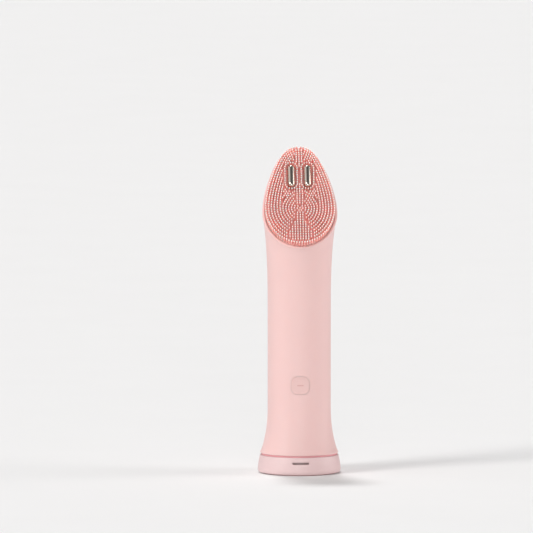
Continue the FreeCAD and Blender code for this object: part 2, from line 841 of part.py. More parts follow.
def battery_tabs():
    """Welded strips on the cell's two ends, led forward to the wires."""
    tabs = []
    for low in (cell_low_z - tab_thickness, cell_high_z):
        tabs.append(box(-tab_width / 2, tab_width / 2, tab_front_y, cell_y + tab_back,
                        low, low + tab_thickness))
    return Part.Compound(tabs)


def battery_leads():
    wires = []
    y = tab_front_y + lead_setback
    for z, step in ((cell_low_z - tab_thickness - touch_gap, -battery_lead_rise),
                    (cell_high_z + tab_thickness + touch_gap, battery_lead_rise)):
        wires.append(lead([
            Vector(0, y, z),
            Vector(0, y, z + step),
            Vector(0, board_back_y + touch_gap, z + step),
        ], lead_radius))
    return Part.Compound(wires)


# ---------------------------------------------------------------- motor
def motor_can():
    """Motor case: a steel cup with a bearing hole in each end."""
    case = rod(motor_radius, on_axis(motor_y, motor_low_z), on_axis(motor_y, motor_high_z))
    room = rod(motor_radius - motor_wall, on_axis(motor_y, motor_low_z + motor_wall),
               on_axis(motor_y, motor_high_z - motor_wall))
    bore = rod(shaft_radius + running_gap, on_axis(motor_y, motor_low_z + motor_wall),
               on_axis(motor_y, motor_high_z + 1.0))
    return case.cut(room).cut(bore)


def motor_bushes():
    """Sintered bronze bearings in the two ends of the motor's case."""
    low = motor_low_z + motor_wall + touch_gap
    high = motor_high_z - motor_wall - touch_gap
    bushes = []
    for start in (low, high - bush_length):
        bushes.append(tube(bush_radius, shaft_radius + running_gap, on_axis(motor_y, start),
                           on_axis(motor_y, start + bush_length)))
    return Part.Compound(bushes)


def motor_magnets():
    """Two arc magnets bonded inside the motor's case."""
    ring = tube(motor_radius - motor_wall - touch_gap, magnet_bore,
                on_axis(motor_y, motor_low_z + magnet_end_gap),
                on_axis(motor_y, motor_high_z - magnet_end_gap))
    split = box(-magnet_split / 2, magnet_split / 2, motor_y - motor_radius, motor_y + motor_radius,
                motor_low_z, motor_high_z)
    return Part.Compound(ring.cut(split).Solids)


def motor_shaft():
    """Shaft with its wound rotor."""
    shaft = rod(shaft_radius, on_axis(motor_y, motor_low_z + motor_wall + shaft_end_gap),
                on_axis(motor_y, shaft_high_z))
    rotor = rod(rotor_radius, on_axis(motor_y, motor_low_z + rotor_end_gap),
                on_axis(motor_y, motor_high_z - rotor_end_gap))
    return shaft.fuse(rotor)


def eccentric_weight():
    """Half-round weight pressed on the shaft; turning it shakes the head."""
    low, high = on_axis(motor_y, weight_low_z), on_axis(motor_y, weight_low_z + weight_height)
    half = rod(weight_radius, low, high).cut(
        box(-weight_radius, weight_radius, motor_y, motor_y + weight_radius,
            weight_low_z - 1, weight_low_z + weight_height + 1))
    return half.fuse(rod(weight_hub_radius, low, high)).cut(
        rod(shaft_radius + press_gap, low - Vector(0, 0, 1), high + Vector(0, 0, 1)))


def motor_boot():
    """Rubber sleeve that holds the motor in the chassis."""
    return tube(motor_radius + touch_gap + boot_wall, motor_radius + touch_gap,
                on_axis(motor_y, motor_low_z), on_axis(motor_y, bracket_high_z))


def motor_leads():
    wires = []
    for side in (-1, 1):
        x = side * motor_pad_x
        wires.append(lead([
            Vector(x, motor_y, motor_low_z - touch_gap),
            Vector(x, motor_y, motor_low_z - motor_lead_drop),
            Vector(x, board_mid_y, board_high_z + motor_lead_rise),
            Vector(x, board_mid_y, board_high_z + touch_gap),
        ], lead_radius))
    return Part.Compound(wires)


# ---------------------------------------------------------------- end plug and charging
def end_plug():
    """Closes the shell's lower end; its spigot carries the base cap."""
    flange = rod(flange_radius, on_axis(0, plug_flange_low_z), on_axis(0, plug_flange_high_z))
    barrel = rod(plug_radius, on_axis(0, plug_flange_low_z), on_axis(0, plug_top_z))
    room = rod(plug_radius - plug_wall, on_axis(0, plug_floor_top_z), on_axis(0, plug_top_z + 1.0))
    spigot = tube(spigot_radius, spigot_radius - spigot_wall, on_axis(0, spigot_low_z),
                  on_axis(0, plug_flange_low_z + 0.5))
    lip = rod(flange_lip_radius, on_axis(0, flange_lip_low_z), on_axis(0, plug_flange_high_z))
    plug = flange.fuse(lip).fuse(barrel).cut(room).fuse(spigot)
    for y in (-charge_post_y, charge_post_y):
        plug = plug.fuse(rod(charge_post_radius, on_axis(y, plug_floor_top_z - post_root),
                             on_axis(y, socket_high_z)))
    for x in (-plug_screw_x, plug_screw_x):
        low = Vector(x, plug_screw_y, plug_floor_top_z - post_root)
        boss = rod(plug_boss_radius, low, Vector(x, plug_screw_y, plug_top_z))
        room = rod(plug_radius - boss_clearance, on_axis(0, 0), on_axis(0, plug_top_z))
        plug = plug.fuse(boss.common(room))
    for x in (-plug_screw_x, plug_screw_x):
        foot = Vector(x, plug_screw_y, plug_flange_low_z - 1.0)
        plug = plug.cut(rod(screw_radius + fit_gap, foot, Vector(x, plug_screw_y, plug_top_z + 1.0)))
        seat = Vector(x, plug_screw_y, plug_screw_head_z + screw_head_height + touch_gap)
        plug = plug.cut(rod(screw_head_radius + fit_gap, foot, seat))
    plug = plug.cut(socket_bar(fit_gap, plug_flange_low_z - 1.0, plug_floor_top_z + 1.0))
    plug = plug.cut(ring_groove(plug_radius, ring_centre_radius, ring_section_radius, ring_z))
    cap_groove = ring_groove(spigot_radius, cap_ring_centre_radius, cap_ring_section_radius, cap_ring_z)
    return plug.cut(cap_groove).removeSplitter()


def ring_groove(surface_radius, centre_radius, section_radius, z):
    half = section_radius + touch_gap
    return tube(surface_radius + 1.0, centre_radius - section_radius - touch_gap,
                on_axis(0, z - half), on_axis(0, z + half))


def end_seal():
    """Rubber ring between plug and shell."""
    return torus(ring_centre_radius, ring_section_radius, ring_z)


def cap_ring():
    """Rubber ring on the spigot that grips the base cap."""
    return torus(cap_ring_centre_radius, cap_ring_section_radius, cap_ring_z)


def plug_screws():
    screws = []
    for x in (-plug_screw_x, plug_screw_x):
        screws.append(screw(Vector(x, plug_screw_y, plug_screw_head_z),
                            Vector(x, plug_screw_y, plug_screw_tip_z)))
    return Part.Compound(screws)


def charge_socket_shell():
    """Steel shell of the charging socket, open downwards."""
    shell = socket_bar(0.0, socket_low_z, socket_high_z)
    room = socket_bar(-socket_wall, socket_low_z - 1.0, socket_high_z - 2 * socket_wall)
    return shell.cut(room)


def charge_socket_tongue():
    low = socket_low_z + tongue_setback
    high = socket_high_z - 2 * socket_wall - touch_gap
    return rounded_bar(tongue_width, tongue_thickness, tongue_thickness * 0.43, low, high)


def charge_board():
    low = socket_high_z + touch_gap
    return box(-charge_board_width / 2, charge_board_width / 2, -charge_board_depth / 2,
               charge_board_depth / 2, low, low + charge_board_thickness)


def charge_leads():
    wires = []
    low = socket_high_z + touch_gap + charge_board_thickness + touch_gap
    for side in (-1, 1):
        x = side * charge_pad_x
        wires.append(lead([
            Vector(x, charge_pad_y, low),
            Vector(x, charge_pad_y, low + charge_lead_rise),
            Vector(x, board_mid_y, board_low_z - charge_lead_rise),
            Vector(x, board_mid_y, board_low_z - touch_gap),
        ], lead_radius))
    return Part.Compound(wires)


# ---------------------------------------------------------------- base cap
def base_cap():
    """Cap that pulls down off the spigot: covers the socket and is the foot."""
    top = Vector(seam_radius, 0, cap_top_z)
    widest = Vector(foot_radius, 0, cap_widest_z)
    toe = Vector(foot_radius - toe_round, 0, cap_edge_z)
    bulge = Vector((seam_radius + foot_radius) / 2 + flank_bow, 0, (cap_top_z + cap_widest_z) / 2)
    knee = Vector(foot_radius - toe_bow_in, 0, cap_edge_z + toe_bow_up)
    profile = Part.Wire([
        Part.makeLine(Vector(0, 0, cap_edge_z), toe),
        Part.Arc(toe, knee, widest).toShape(),
        Part.Arc(widest, bulge, top).toShape(),
        Part.makeLine(top, Vector(0, 0, cap_top_z)),
        Part.makeLine(Vector(0, 0, cap_top_z), Vector(0, 0, cap_edge_z)),
    ])
    cap = Part.Face(profile).revolve(Vector(0, 0, 0), Vector(0, 0, 1), 360)
    room = Part.makeCone(foot_radius - cap_wall, seam_radius - cap_wall,
                         cap_top_z - cap_floor_top_z + 0.01, Vector(0, 0, cap_floor_top_z))
    cap = cap.cut(room)
    pad_seat_z = foot_pad_thickness + touch_gap
    cap = cap.cut(rod(foot_pad_radius + fit_gap, on_axis(0, 0), on_axis(0, pad_seat_z)))
    cap = cap.fuse(tube(collar_radius + collar_wall, collar_radius, on_axis(0, cap_floor_top_z - 0.4),
                        on_axis(0, plug_flange_low_z - collar_clearance)))
    slot = rounded_bar(slot_width, slot_height, slot_height / 2 - 0.001,
                       collar_radius + collar_wall + 0.5, foot_radius + 1.0)
    return cap.cut(facing_front(slot, slot_z)).removeSplitter()


def foot_pad():
    """Grippy disc bonded under the cap; the object stands on it."""
    disc = rod(foot_pad_radius, on_axis(0, 0), on_axis(0, foot_pad_thickness))
    rim = [edge for edge in disc.Edges if abs(edge.CenterOfMass.z) < 1e-6]
    return disc.makeFillet(foot_pad_round, rim)


# ---------------------------------------------------------------- all pieces
pieces = {
    "silicone_sleeve": silicone_sleeve,
    "brush_pad": brush_pad,
    "main_shell": main_shell,
    "face_plate": face_plate,
    "electrode_left": lambda: electrode(-1),
    "electrode_right": lambda: electrode(1),
    "electrode_seals": electrode_seals,
    "electrode_nuts": electrode_nuts,
    "electrode_leads": electrode_leads,
    "power_button": power_button,
    "button_light_pipe": button_light_pipe,
    "tact_switch": tact_switch,
    "switch_plunger": switch_plunger,
    "main_board": main_board,
    "board_chips": board_chips,
    "boost_coil": boost_coil,
    "indicator_led": indicator_led,
    "board_screws": board_screws,
    "chassis": chassis,
    "battery_cell": battery_cell,
    "battery_tabs": battery_tabs,
    "battery_leads": battery_leads,
    "motor_can": motor_can,
    "motor_bushes": motor_bushes,
    "motor_magnets": motor_magnets,
    "motor_shaft": motor_shaft,
    "eccentric_weight": eccentric_weight,
    "motor_boot": motor_boot,
    "motor_leads": motor_leads,
    "end_plug": end_plug,
    "end_seal": end_seal,
    "cap_ring": cap_ring,
    "plug_screws": plug_screws,
    "charge_socket_shell": charge_socket_shell,
    "charge_socket_tongue": charge_socket_tongue,
    "charge_board": charge_board,
    "charge_leads": charge_leads,
    "base_cap": base_cap,
    "foot_pad": foot_pad,
}

os.makedirs("parts", exist_ok=True)
for name, make in pieces.items():
    make().exportStep(f"parts/{name}.step")
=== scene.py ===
import math
import random

import bmesh
import bpy
from mathutils import Matrix, Vector


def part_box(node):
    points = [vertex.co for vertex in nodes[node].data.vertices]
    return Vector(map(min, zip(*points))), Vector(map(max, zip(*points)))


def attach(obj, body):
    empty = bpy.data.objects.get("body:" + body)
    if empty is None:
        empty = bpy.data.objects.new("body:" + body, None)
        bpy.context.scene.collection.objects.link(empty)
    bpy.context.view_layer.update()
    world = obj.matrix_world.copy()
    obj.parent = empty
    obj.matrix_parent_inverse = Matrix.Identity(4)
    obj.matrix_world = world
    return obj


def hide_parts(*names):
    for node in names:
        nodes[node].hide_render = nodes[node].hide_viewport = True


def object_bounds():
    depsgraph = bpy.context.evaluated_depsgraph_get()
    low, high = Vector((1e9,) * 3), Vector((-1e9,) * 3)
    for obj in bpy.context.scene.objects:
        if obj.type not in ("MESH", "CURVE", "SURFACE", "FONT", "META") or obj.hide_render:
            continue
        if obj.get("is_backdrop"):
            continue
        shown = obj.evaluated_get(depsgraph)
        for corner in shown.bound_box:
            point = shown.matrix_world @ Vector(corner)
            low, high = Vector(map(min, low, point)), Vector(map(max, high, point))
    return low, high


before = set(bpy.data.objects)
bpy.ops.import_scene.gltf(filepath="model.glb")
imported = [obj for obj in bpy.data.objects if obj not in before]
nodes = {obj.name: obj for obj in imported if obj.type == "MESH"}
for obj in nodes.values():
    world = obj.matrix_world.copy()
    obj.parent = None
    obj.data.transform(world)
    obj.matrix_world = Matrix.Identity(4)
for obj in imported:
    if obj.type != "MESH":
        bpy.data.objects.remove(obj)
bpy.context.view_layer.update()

mm = 0.001


# ------------------------------------------------------------------ rigid shell, chassis and end plug
# ABS mouldings: the one-piece shell under the silicone, the frame inside it that carries cell,
# motor and board, and the plug that closes the lower end. Spark-eroded moulds leave a fine,
# even matte grain on them. The plug's flange shows as a line in the seam above the base cap.
def linear(hex_colour):
    """An sRGB hex colour as linear red, green, blue and alpha."""
    values = [int(hex_colour[place:place + 2], 16) / 255 for place in (0, 2, 4)]
    curved = [v / 12.92 if v <= 0.04045 else ((v + 0.055) / 1.055) ** 2.4 for v in values]
    return (*curved, 1.0)


def add(tree, kind, sockets, **settings):
    """Adds a node: plain settings by name, then its sockets, each with a value or a link."""
    made = tree.nodes.new(kind)
    for name, value in settings.items():
        setattr(made, name, value)
    for name, value in sockets.items():
        if isinstance(value, bpy.types.NodeSocket):
            tree.links.new(value, made.inputs[name])
        else:
            made.inputs[name].default_value = value
    return made


def new_material(name):
    """An empty node material and its tree."""
    material = bpy.data.materials.new(name)
    material.use_nodes = True
    material.node_tree.nodes.clear()
    return material, material.node_tree


def give(material, *names):
    """Puts a material on carried-over CAD nodes."""
    for name in names:
        for slot in nodes[name].material_slots:
            slot.material = material


def moulded_abs(name, light, dark, grain_mm=0.25, roughness=0.48):
    """Moulded ABS: an even pigment with a faint cloudiness and a fine spark-eroded grain that
    breaks the highlight into a soft sheen."""
    material, tree = new_material(name)
    place = add(tree, "ShaderNodeTexCoord", {})
    cloud = add(tree, "ShaderNodeTexNoise", {
        "Vector": place.outputs["Object"], "Scale": 1 / (14 * mm), "Detail": 3.0})
    tint = add(tree, "ShaderNodeMix", {
        "Factor": cloud.outputs["Fac"], "A": linear(light), "B": linear(dark)}, data_type="RGBA")
    grain = add(tree, "ShaderNodeTexVoronoi", {
        "Vector": place.outputs["Object"], "Scale": 1 / (grain_mm * mm)})
    bump = add(tree, "ShaderNodeBump", {
        "Height": grain.outputs["Distance"], "Strength": 0.12, "Distance": 0.02 * mm})
    rough = add(tree, "ShaderNodeMapRange", {
        "Value": cloud.outputs["Fac"], "To Min": roughness - 0.05, "To Max": roughness + 0.06})
    shader = add(tree, "ShaderNodeBsdfPrincipled", {
        "Base Color": tint.outputs["Result"], "Roughness": rough.outputs["Result"],
        "IOR": 1.54, "Normal": bump.outputs["Normal"]})
    add(tree, "ShaderNodeOutputMaterial", {"Surface": shader.outputs["BSDF"]})
    return material


natural_abs = moulded_abs("moulded_natural_abs", "e2ddd6", "d2ccc4")
give(natural_abs, "main_shell", "face_plate", "chassis")
rose_abs = moulded_abs("moulded_rose_abs", "e8a5ab", "dc979e")
give(rose_abs, "end_plug")


# ------------------------------------------------------------------ seals and rubber sleeve
# Nitrile rubber: the rings under the electrodes and round the plug, and the sleeve that holds
# the motor. Press-moulded and tumbled, so dull black with a slightly dusty bloom.
def moulded_rubber(name, light, dark):
    """Nitrile rubber: near black, dull, with a grey bloom in patches."""
    material, tree = new_material(name)
    place = add(tree, "ShaderNodeTexCoord", {})
    bloom = add(tree, "ShaderNodeTexNoise", {
        "Vector": place.outputs["Object"], "Scale": 1 / (3 * mm), "Detail": 6.0})
    tint = add(tree, "ShaderNodeMix", {
        "Factor": bloom.outputs["Fac"], "A": linear(dark), "B": linear(light)}, data_type="RGBA")
    bump = add(tree, "ShaderNodeBump", {
        "Height": bloom.outputs["Fac"], "Strength": 0.2, "Distance": 0.02 * mm})
    shader = add(tree, "ShaderNodeBsdfPrincipled", {
        "Base Color": tint.outputs["Result"], "Roughness": 0.7, "IOR": 1.52,
        "Normal": bump.outputs["Normal"]})
    add(tree, "ShaderNodeOutputMaterial", {"Surface": shader.outputs["BSDF"]})
    return material


give(moulded_rubber("tumbled_nitrile_rubber", "2c2c2d", "161616"),
     "electrode_seals", "end_seal", "cap_ring", "motor_boot")


# ------------------------------------------------------------------ metal parts
# Drawn steel motor case and shaft, zinc-plated screws, nuts and socket shell, nickel strip on
# the cell, sintered bronze bushes and the sintered weight. Each shows the fine lines or the
# speckle that its making leaves.
def drawn_metal(name, light, dark, roughness, line_mm=0.3, stretch=12.0):
    """Drawn or rolled metal: fine lines along its length that spread the highlight."""
    material, tree = new_material(name)
    place = add(tree, "ShaderNodeTexCoord", {})
    along = add(tree, "ShaderNodeMapping", {
        "Vector": place.outputs["Object"], "Scale": (1.0, 1.0, 1 / stretch)})
    lines = add(tree, "ShaderNodeTexNoise", {
        "Vector": along.outputs["Vector"], "Scale": 1 / (line_mm * mm), "Detail": 4.0})
    tint = add(tree, "ShaderNodeMix", {
        "Factor": lines.outputs["Fac"], "A": linear(light), "B": linear(dark)}, data_type="RGBA")
    rough = add(tree, "ShaderNodeMapRange", {
        "Value": lines.outputs["Fac"], "To Min": roughness * 0.7, "To Max": roughness * 1.4})
    bump = add(tree, "ShaderNodeBump", {
        "Height": lines.outputs["Fac"], "Strength": 0.08, "Distance": 0.01 * mm})
    shader = add(tree, "ShaderNodeBsdfPrincipled", {
        "Base Color": tint.outputs["Result"], "Metallic": 1.0,
        "Roughness": rough.outputs["Result"], "Normal": bump.outputs["Normal"]})
    add(tree, "ShaderNodeOutputMaterial", {"Surface": shader.outputs["BSDF"]})
    return material


give(drawn_metal("drawn_steel", "b9b9b8", "8e8e8d", 0.3), "motor_can", "motor_shaft")
give(drawn_metal("zinc_plated_steel", "c9cccd", "a3a7a9", 0.32, stretch=1.0),
     "plug_screws", "board_screws", "electrode_nuts", "charge_socket_shell")
give(drawn_metal("rolled_nickel", "cfc9bd", "a9a398", 0.25), "battery_tabs")
give(drawn_metal("sintered_bronze", "b98a4e", "8a6334", 0.5, line_mm=0.15, stretch=1.0), "motor_bushes")
give(drawn_metal("sintered_tungsten_alloy", "8d8d90", "66666a", 0.5, line_mm=0.12, stretch=1.0),
     "eccentric_weight")


# ------------------------------------------------------------------ boards, chips, cell, magnets, wires
# The board is glass-fibre laminate under green solder mask, its chips are moulded epoxy, the
# coil and the magnets are pressed ferrite, the cell wears heat-shrunk film and the wires have
# silicone insulation.
def speckled(name, light, dark, speck_mm, roughness, coat=0.0):
    """A pressed, coated or filled plastic: one tone with a fine speckle of another."""
    material, tree = new_material(name)
    place = add(tree, "ShaderNodeTexCoord", {})
    speck = add(tree, "ShaderNodeTexNoise", {
        "Vector": place.outputs["Object"], "Scale": 1 / (speck_mm * mm), "Detail": 8.0,
        "Roughness": 0.65})
    tint = add(tree, "ShaderNodeMix", {
        "Factor": speck.outputs["Fac"], "A": linear(dark), "B": linear(light)}, data_type="RGBA")
    bump = add(tree, "ShaderNodeBump", {
        "Height": speck.outputs["Fac"], "Strength": 0.15, "Distance": 0.01 * mm})
    shader = add(tree, "ShaderNodeBsdfPrincipled", {
        "Base Color": tint.outputs["Result"], "Roughness": roughness, "IOR": 1.5,
        "Coat Weight": coat, "Normal": bump.outputs["Normal"]})
    add(tree, "ShaderNodeOutputMaterial", {"Surface": shader.outputs["BSDF"]})
    return material


give(speckled("solder_mask_on_laminate", "1f6b3e", "124a2a", 0.6, 0.35, coat=0.4),
     "main_board", "charge_board")
give(speckled("moulded_epoxy", "2a2a2c", "121213", 0.15, 0.55), "board_chips", "tact_switch")
give(speckled("moulded_liquid_crystal_polymer", "28282a", "151516", 0.2, 0.45),
     "charge_socket_tongue", "switch_plunger")
give(speckled("pressed_ferrite", "3a3a3d", "222224", 0.2, 0.6), "boost_coil", "motor_magnets")
give(speckled("heat_shrunk_film", "3565a8", "2a5492", 4.0, 0.28, coat=0.3), "battery_cell")
give(speckled("extruded_silicone_insulation", "b8302c", "981f1e", 0.8, 0.5),
     "battery_leads", "motor_leads", "electrode_leads", "charge_leads")
give(speckled("moulded_clear_epoxy", "f0ecdf", "ddd8c6", 0.5, 0.15, coat=0.5), "indicator_led")


# ------------------------------------------------------------------ silicone sleeve
# One skin of liquid silicone rubber over handle, neck and head. It is injected round the shell,
# 1.5 mm thick, with a rounded rim round the brush face, a window for the button and a folded
# lip above the base cap. The matte, soft-touch surface lets a little light into itself.
handle_radius = 16.75 * mm
seam_radius = 20.75 * mm
sleeve_low = 10.4 * mm
flare_low = 10.0 * mm
flare_top = 33.0 * mm
neck_low = 95.0 * mm
foot_fold = 0.1 * mm            # how far the folded lip at the foot stands out
foot_fold_top = 13.0 * mm
sleeve_wall = 1.5 * mm
face_lean = math.radians(33.0)
face_turn = math.pi / 2 - face_lean
face_half_width = 20.0 * mm
face_low_reach = 22.0 * mm
face_high_reach = 39.0 * mm
face_pinch = 0.62
lip_reach = 3.25 * mm
lip_z = 120.7 * mm
front_power, back_power, width_power = 1.8, 4.5, 1.7
cage_sides = 24
# A ring shrinks when it is subdivided, so its cage is wider by this share.
swell = 3 / (2 + math.cos(2 * math.pi / cage_sides))

face_up = Vector((0, math.cos(face_turn), math.sin(face_turn)))
face_centre = Vector((0, -handle_radius - lip_reach, lip_z)) + face_up * face_low_reach
tip_y = (face_centre + face_up * face_high_reach).y
face_place = Matrix.Translation(face_centre) @ Matrix.Rotation(face_turn, 4, "X")


def level_station(z, radius):
    """A round ring, level, at a height: its place and the measures that draw_egg takes."""
    return Matrix.Translation((0, 0, z)), radius, radius, radius, 0.0


def flare_radius(z):
    """Radius of the foot's flare: a parabola that runs out into the straight handle."""
    rise = max(0.0, (flare_top - z) / (flare_top - flare_low))
    return handle_radius + (seam_radius - handle_radius) * rise ** 2


def neck_station(share, inset):
    """A ring between the level handle at share 0 and the brush face at share 1."""
    turn = face_turn * share
    front_y = -(handle_radius + lip_reach * share ** 2)
    front_z = neck_low + (lip_z - neck_low) * (1 - (1 - share) ** front_power)
    back_y = handle_radius - (handle_radius - tip_y) * share ** back_power
    length = (back_y - front_y) / math.cos(turn)
    low = handle_radius + (face_low_reach - handle_radius) * share ** 2
    half_width = handle_radius + (face_half_width - handle_radius) * share ** width_power
    centre = Vector((0, front_y, front_z)) + Vector((0, math.cos(turn), math.sin(turn))) * low
    place = Matrix.Translation(centre) @ Matrix.Rotation(turn, 4, "X")
    return place, half_width - inset, low - inset, length - low - inset, face_pinch * share ** 2


def rim_station(inset, sink):
    """A ring of the rolled rim round the brush face, sunk below the face's plane."""
    place = face_place @ Matrix.Translation((0, 0, -sink))
    return place, face_half_width - inset, face_low_reach - inset, face_high_reach - inset, face_pinch


def wall_stations(inset):
    """The rings of one wall of the sleeve, from the foot up to just below the rim."""
    heights = (12.2, 12.75, 13.15, 15.0, 18.0, 21.5, 25.0, 29.0, 33.0, 40.0, 47.6, 55.2, 64.0, 74.0, 85.0)
    stations = []
    for z in (height * mm for height in heights):
        fold = foot_fold if z < foot_fold_top and inset == 0 else 0.0
        stations.append(level_station(z, flare_radius(z) - inset + fold))
    for share in (0.0, 1 / 6, 2 / 6, 3 / 6, 4 / 6, 0.8, 0.9, 0.96):
        stations.append(neck_station(share, inset))
    return stations


def draw_egg(ring, around, place, half_width, low, high, pinch):
    """Draws a ring of vertices into an egg outline, round below and narrowed above."""
    for vert, (across, along) in zip(ring, around):
        if along > 0:
            rise = along / swell
            across *= 1 - pinch * rise * rise * (1 - rise)
            along *= high / low
        vert.co = place @ Vector((half_width * across, low * along, 0))


def next_ring(bm, ring):
    """Extrudes the free edges of a ring and returns the new ring in the same order."""
    members = set(ring)
    edges = {edge for vert in ring for edge in vert.link_edges
             if edge.other_vert(vert) in members and len(edge.link_faces) < 2}
    made = bmesh.ops.extrude_edge_only(bm, edges=list(edges))["geom"]
    fresh = {item for item in made if isinstance(item, bmesh.types.BMVert)}
    return [next(edge.other_vert(vert) for edge in vert.link_edges if edge.other_vert(vert) in fresh)
            for vert in ring]


def mesh_object(name, mesh_data):
    made = bpy.data.objects.new(name, mesh_data)
    bpy.context.scene.collection.objects.link(made)
    return made


def smoothed(bm, levels):
    """The mesh of a cage after subdivision, as a new bmesh."""
    cage = bpy.data.meshes.new("cage")
    bm.to_mesh(cage)
    bm.free()
    holder = mesh_object("cage", cage)
    divide = holder.modifiers.new("divide", "SUBSURF")
    divide.levels = divide.render_levels = levels
    graph = bpy.context.evaluated_depsgraph_get()
    fine = bpy.data.meshes.new_from_object(holder.evaluated_get(graph))
    bpy.data.objects.remove(holder)
    bpy.data.meshes.remove(cage)
    made = bmesh.new()
    made.from_mesh(fine)
    bpy.data.meshes.remove(fine)
    return made


def on_outline(x, z, half_x, half_z, corner):
    """The nearest point of a rounded rectangle's outline to a point outside its core."""
    core_x = max(corner - half_x, min(half_x - corner, x))
    core_z = max(corner - half_z, min(half_z - corner, z))
    reach = math.hypot(x - core_x, z - core_z)
    return core_x + corner * (x - core_x) / reach, core_z + corner * (z - core_z) / reach


def open_window(bm, radius_at, middle_z, outline, margin, steps=3):
    """Opens a rounded window in the front of a round wall. The faces round it are drawn in to
    its outline in a few bands. Returns the outline's edges."""
    half_x, half_z, corner = outline
    on_wall = 0.5 * mm          # what lies this close to the wall's radius belongs to it
    faces = []
    for face in bm.faces:
        centre = face.calc_center_median()
        near = abs(math.hypot(centre.x, centre.y) - radius_at(centre.z)) < on_wall
        if near and centre.y < 0 and abs(centre.x) < half_x + margin \
                and abs(centre.z - middle_z) < half_z + margin:
            faces.append(face)
    bmesh.ops.delete(bm, geom=faces, context="FACES")
    edges = [edge for edge in bm.edges if edge.is_boundary and all(
        abs(math.hypot(v.co.x, v.co.y) - radius_at(v.co.z)) < on_wall for v in edge.verts)]
    for step in range(1, steps + 1):
        made = bmesh.ops.extrude_edge_only(bm, edges=edges)["geom"]
        verts = [item for item in made if isinstance(item, bmesh.types.BMVert)]
        edges = [item for item in made if isinstance(item, bmesh.types.BMEdge)]
        for vert in verts:
            x, z = on_outline(vert.co.x, vert.co.z - middle_z, half_x, half_z, corner)
            share = 1 / (steps - step + 1)
            x = vert.co.x + (x - vert.co.x) * share
            z = vert.co.z - middle_z + (z - vert.co.z + middle_z) * share
            radius = radius_at(z + middle_z)
            vert.co = Vector((x, -math.sqrt(radius * radius - x * x), z + middle_z))
    return edges


foot_inner_radius = flare_radius(sleeve_low) - sleeve_wall
stations = [level_station(sleeve_low + 0.25 * mm, flare_radius(sleeve_low) + foot_fold)]
stations.append(level_station(sleeve_low + 0.7 * mm, flare_radius(sleeve_low) + foot_fold))
stations.extend(wall_stations(0.0))
rim_roll = ((0.0, 0.55), (0.12, 0.2), (0.45, 0.0), (0.95, 0.0), (1.35, 0.2), (1.5, 0.6))
for inset, sink in rim_roll:
    stations.append(rim_station(inset * mm, sink * mm))
stations.extend(reversed(wall_stations(sleeve_wall)))
stations.append(level_station(sleeve_low + 0.3 * mm, foot_inner_radius))
stations.append(level_station(sleeve_low, foot_inner_radius + 0.3 * mm))
stations.append(level_station(sleeve_low, flare_radius(sleeve_low) - 0.3 * mm))

sleeve = bmesh.new()
first_ring = ring = bmesh.ops.create_circle(sleeve, segments=cage_sides, radius=swell)["verts"]
around = [(vert.co.x, vert.co.y) for vert in ring]
draw_egg(ring, around, *stations[0])
for station in stations[1:] + stations[:1]:
    ring = next_ring(sleeve, ring)
    draw_egg(ring, around, *station)
bmesh.ops.remove_doubles(sleeve, verts=ring + first_ring, dist=0.01 * mm)
bmesh.ops.recalc_face_normals(sleeve, faces=sleeve.faces)
sleeve = smoothed(sleeve, 3)

button_z = 47.6 * mm
button_outline = (5.1 * mm, 4.9 * mm, 3.6 * mm)
button_margin = 1.3 * mm
inner_radius = handle_radius - sleeve_wall
outer_edges = open_window(sleeve, lambda z: handle_radius, button_z, button_outline, button_margin)
inner_edges = open_window(sleeve, lambda z: inner_radius, button_z, button_outline, button_margin)
for depth, inward in ((0.04, 0.02), (0.14, 0.0)):
    made = bmesh.ops.extrude_edge_only(sleeve, edges=outer_edges)["geom"]
    outer_edges = [item for item in made if isinstance(item, bmesh.types.BMEdge)]
    for vert in (item for item in made if isinstance(item, bmesh.types.BMVert)):
        vert.co.y += depth * mm
        vert.co.x -= math.copysign(inward * mm, vert.co.x)
bmesh.ops.bridge_loops(sleeve, edges=outer_edges + inner_edges)
bmesh.ops.recalc_face_normals(sleeve, faces=sleeve.faces)


def finished(bm, name, material, smooth_degrees=35.0):
    """Turns a bmesh into a smooth-shaded object with sharp edges kept above an angle."""
    mesh_data = bpy.data.meshes.new(name)
    bm.to_mesh(mesh_data)
    bm.free()
    mesh_data.shade_smooth()
    mesh_data.set_sharp_from_angle(angle=math.radians(smooth_degrees))
    mesh_data.materials.append(material)
    return mesh_object(name, mesh_data)


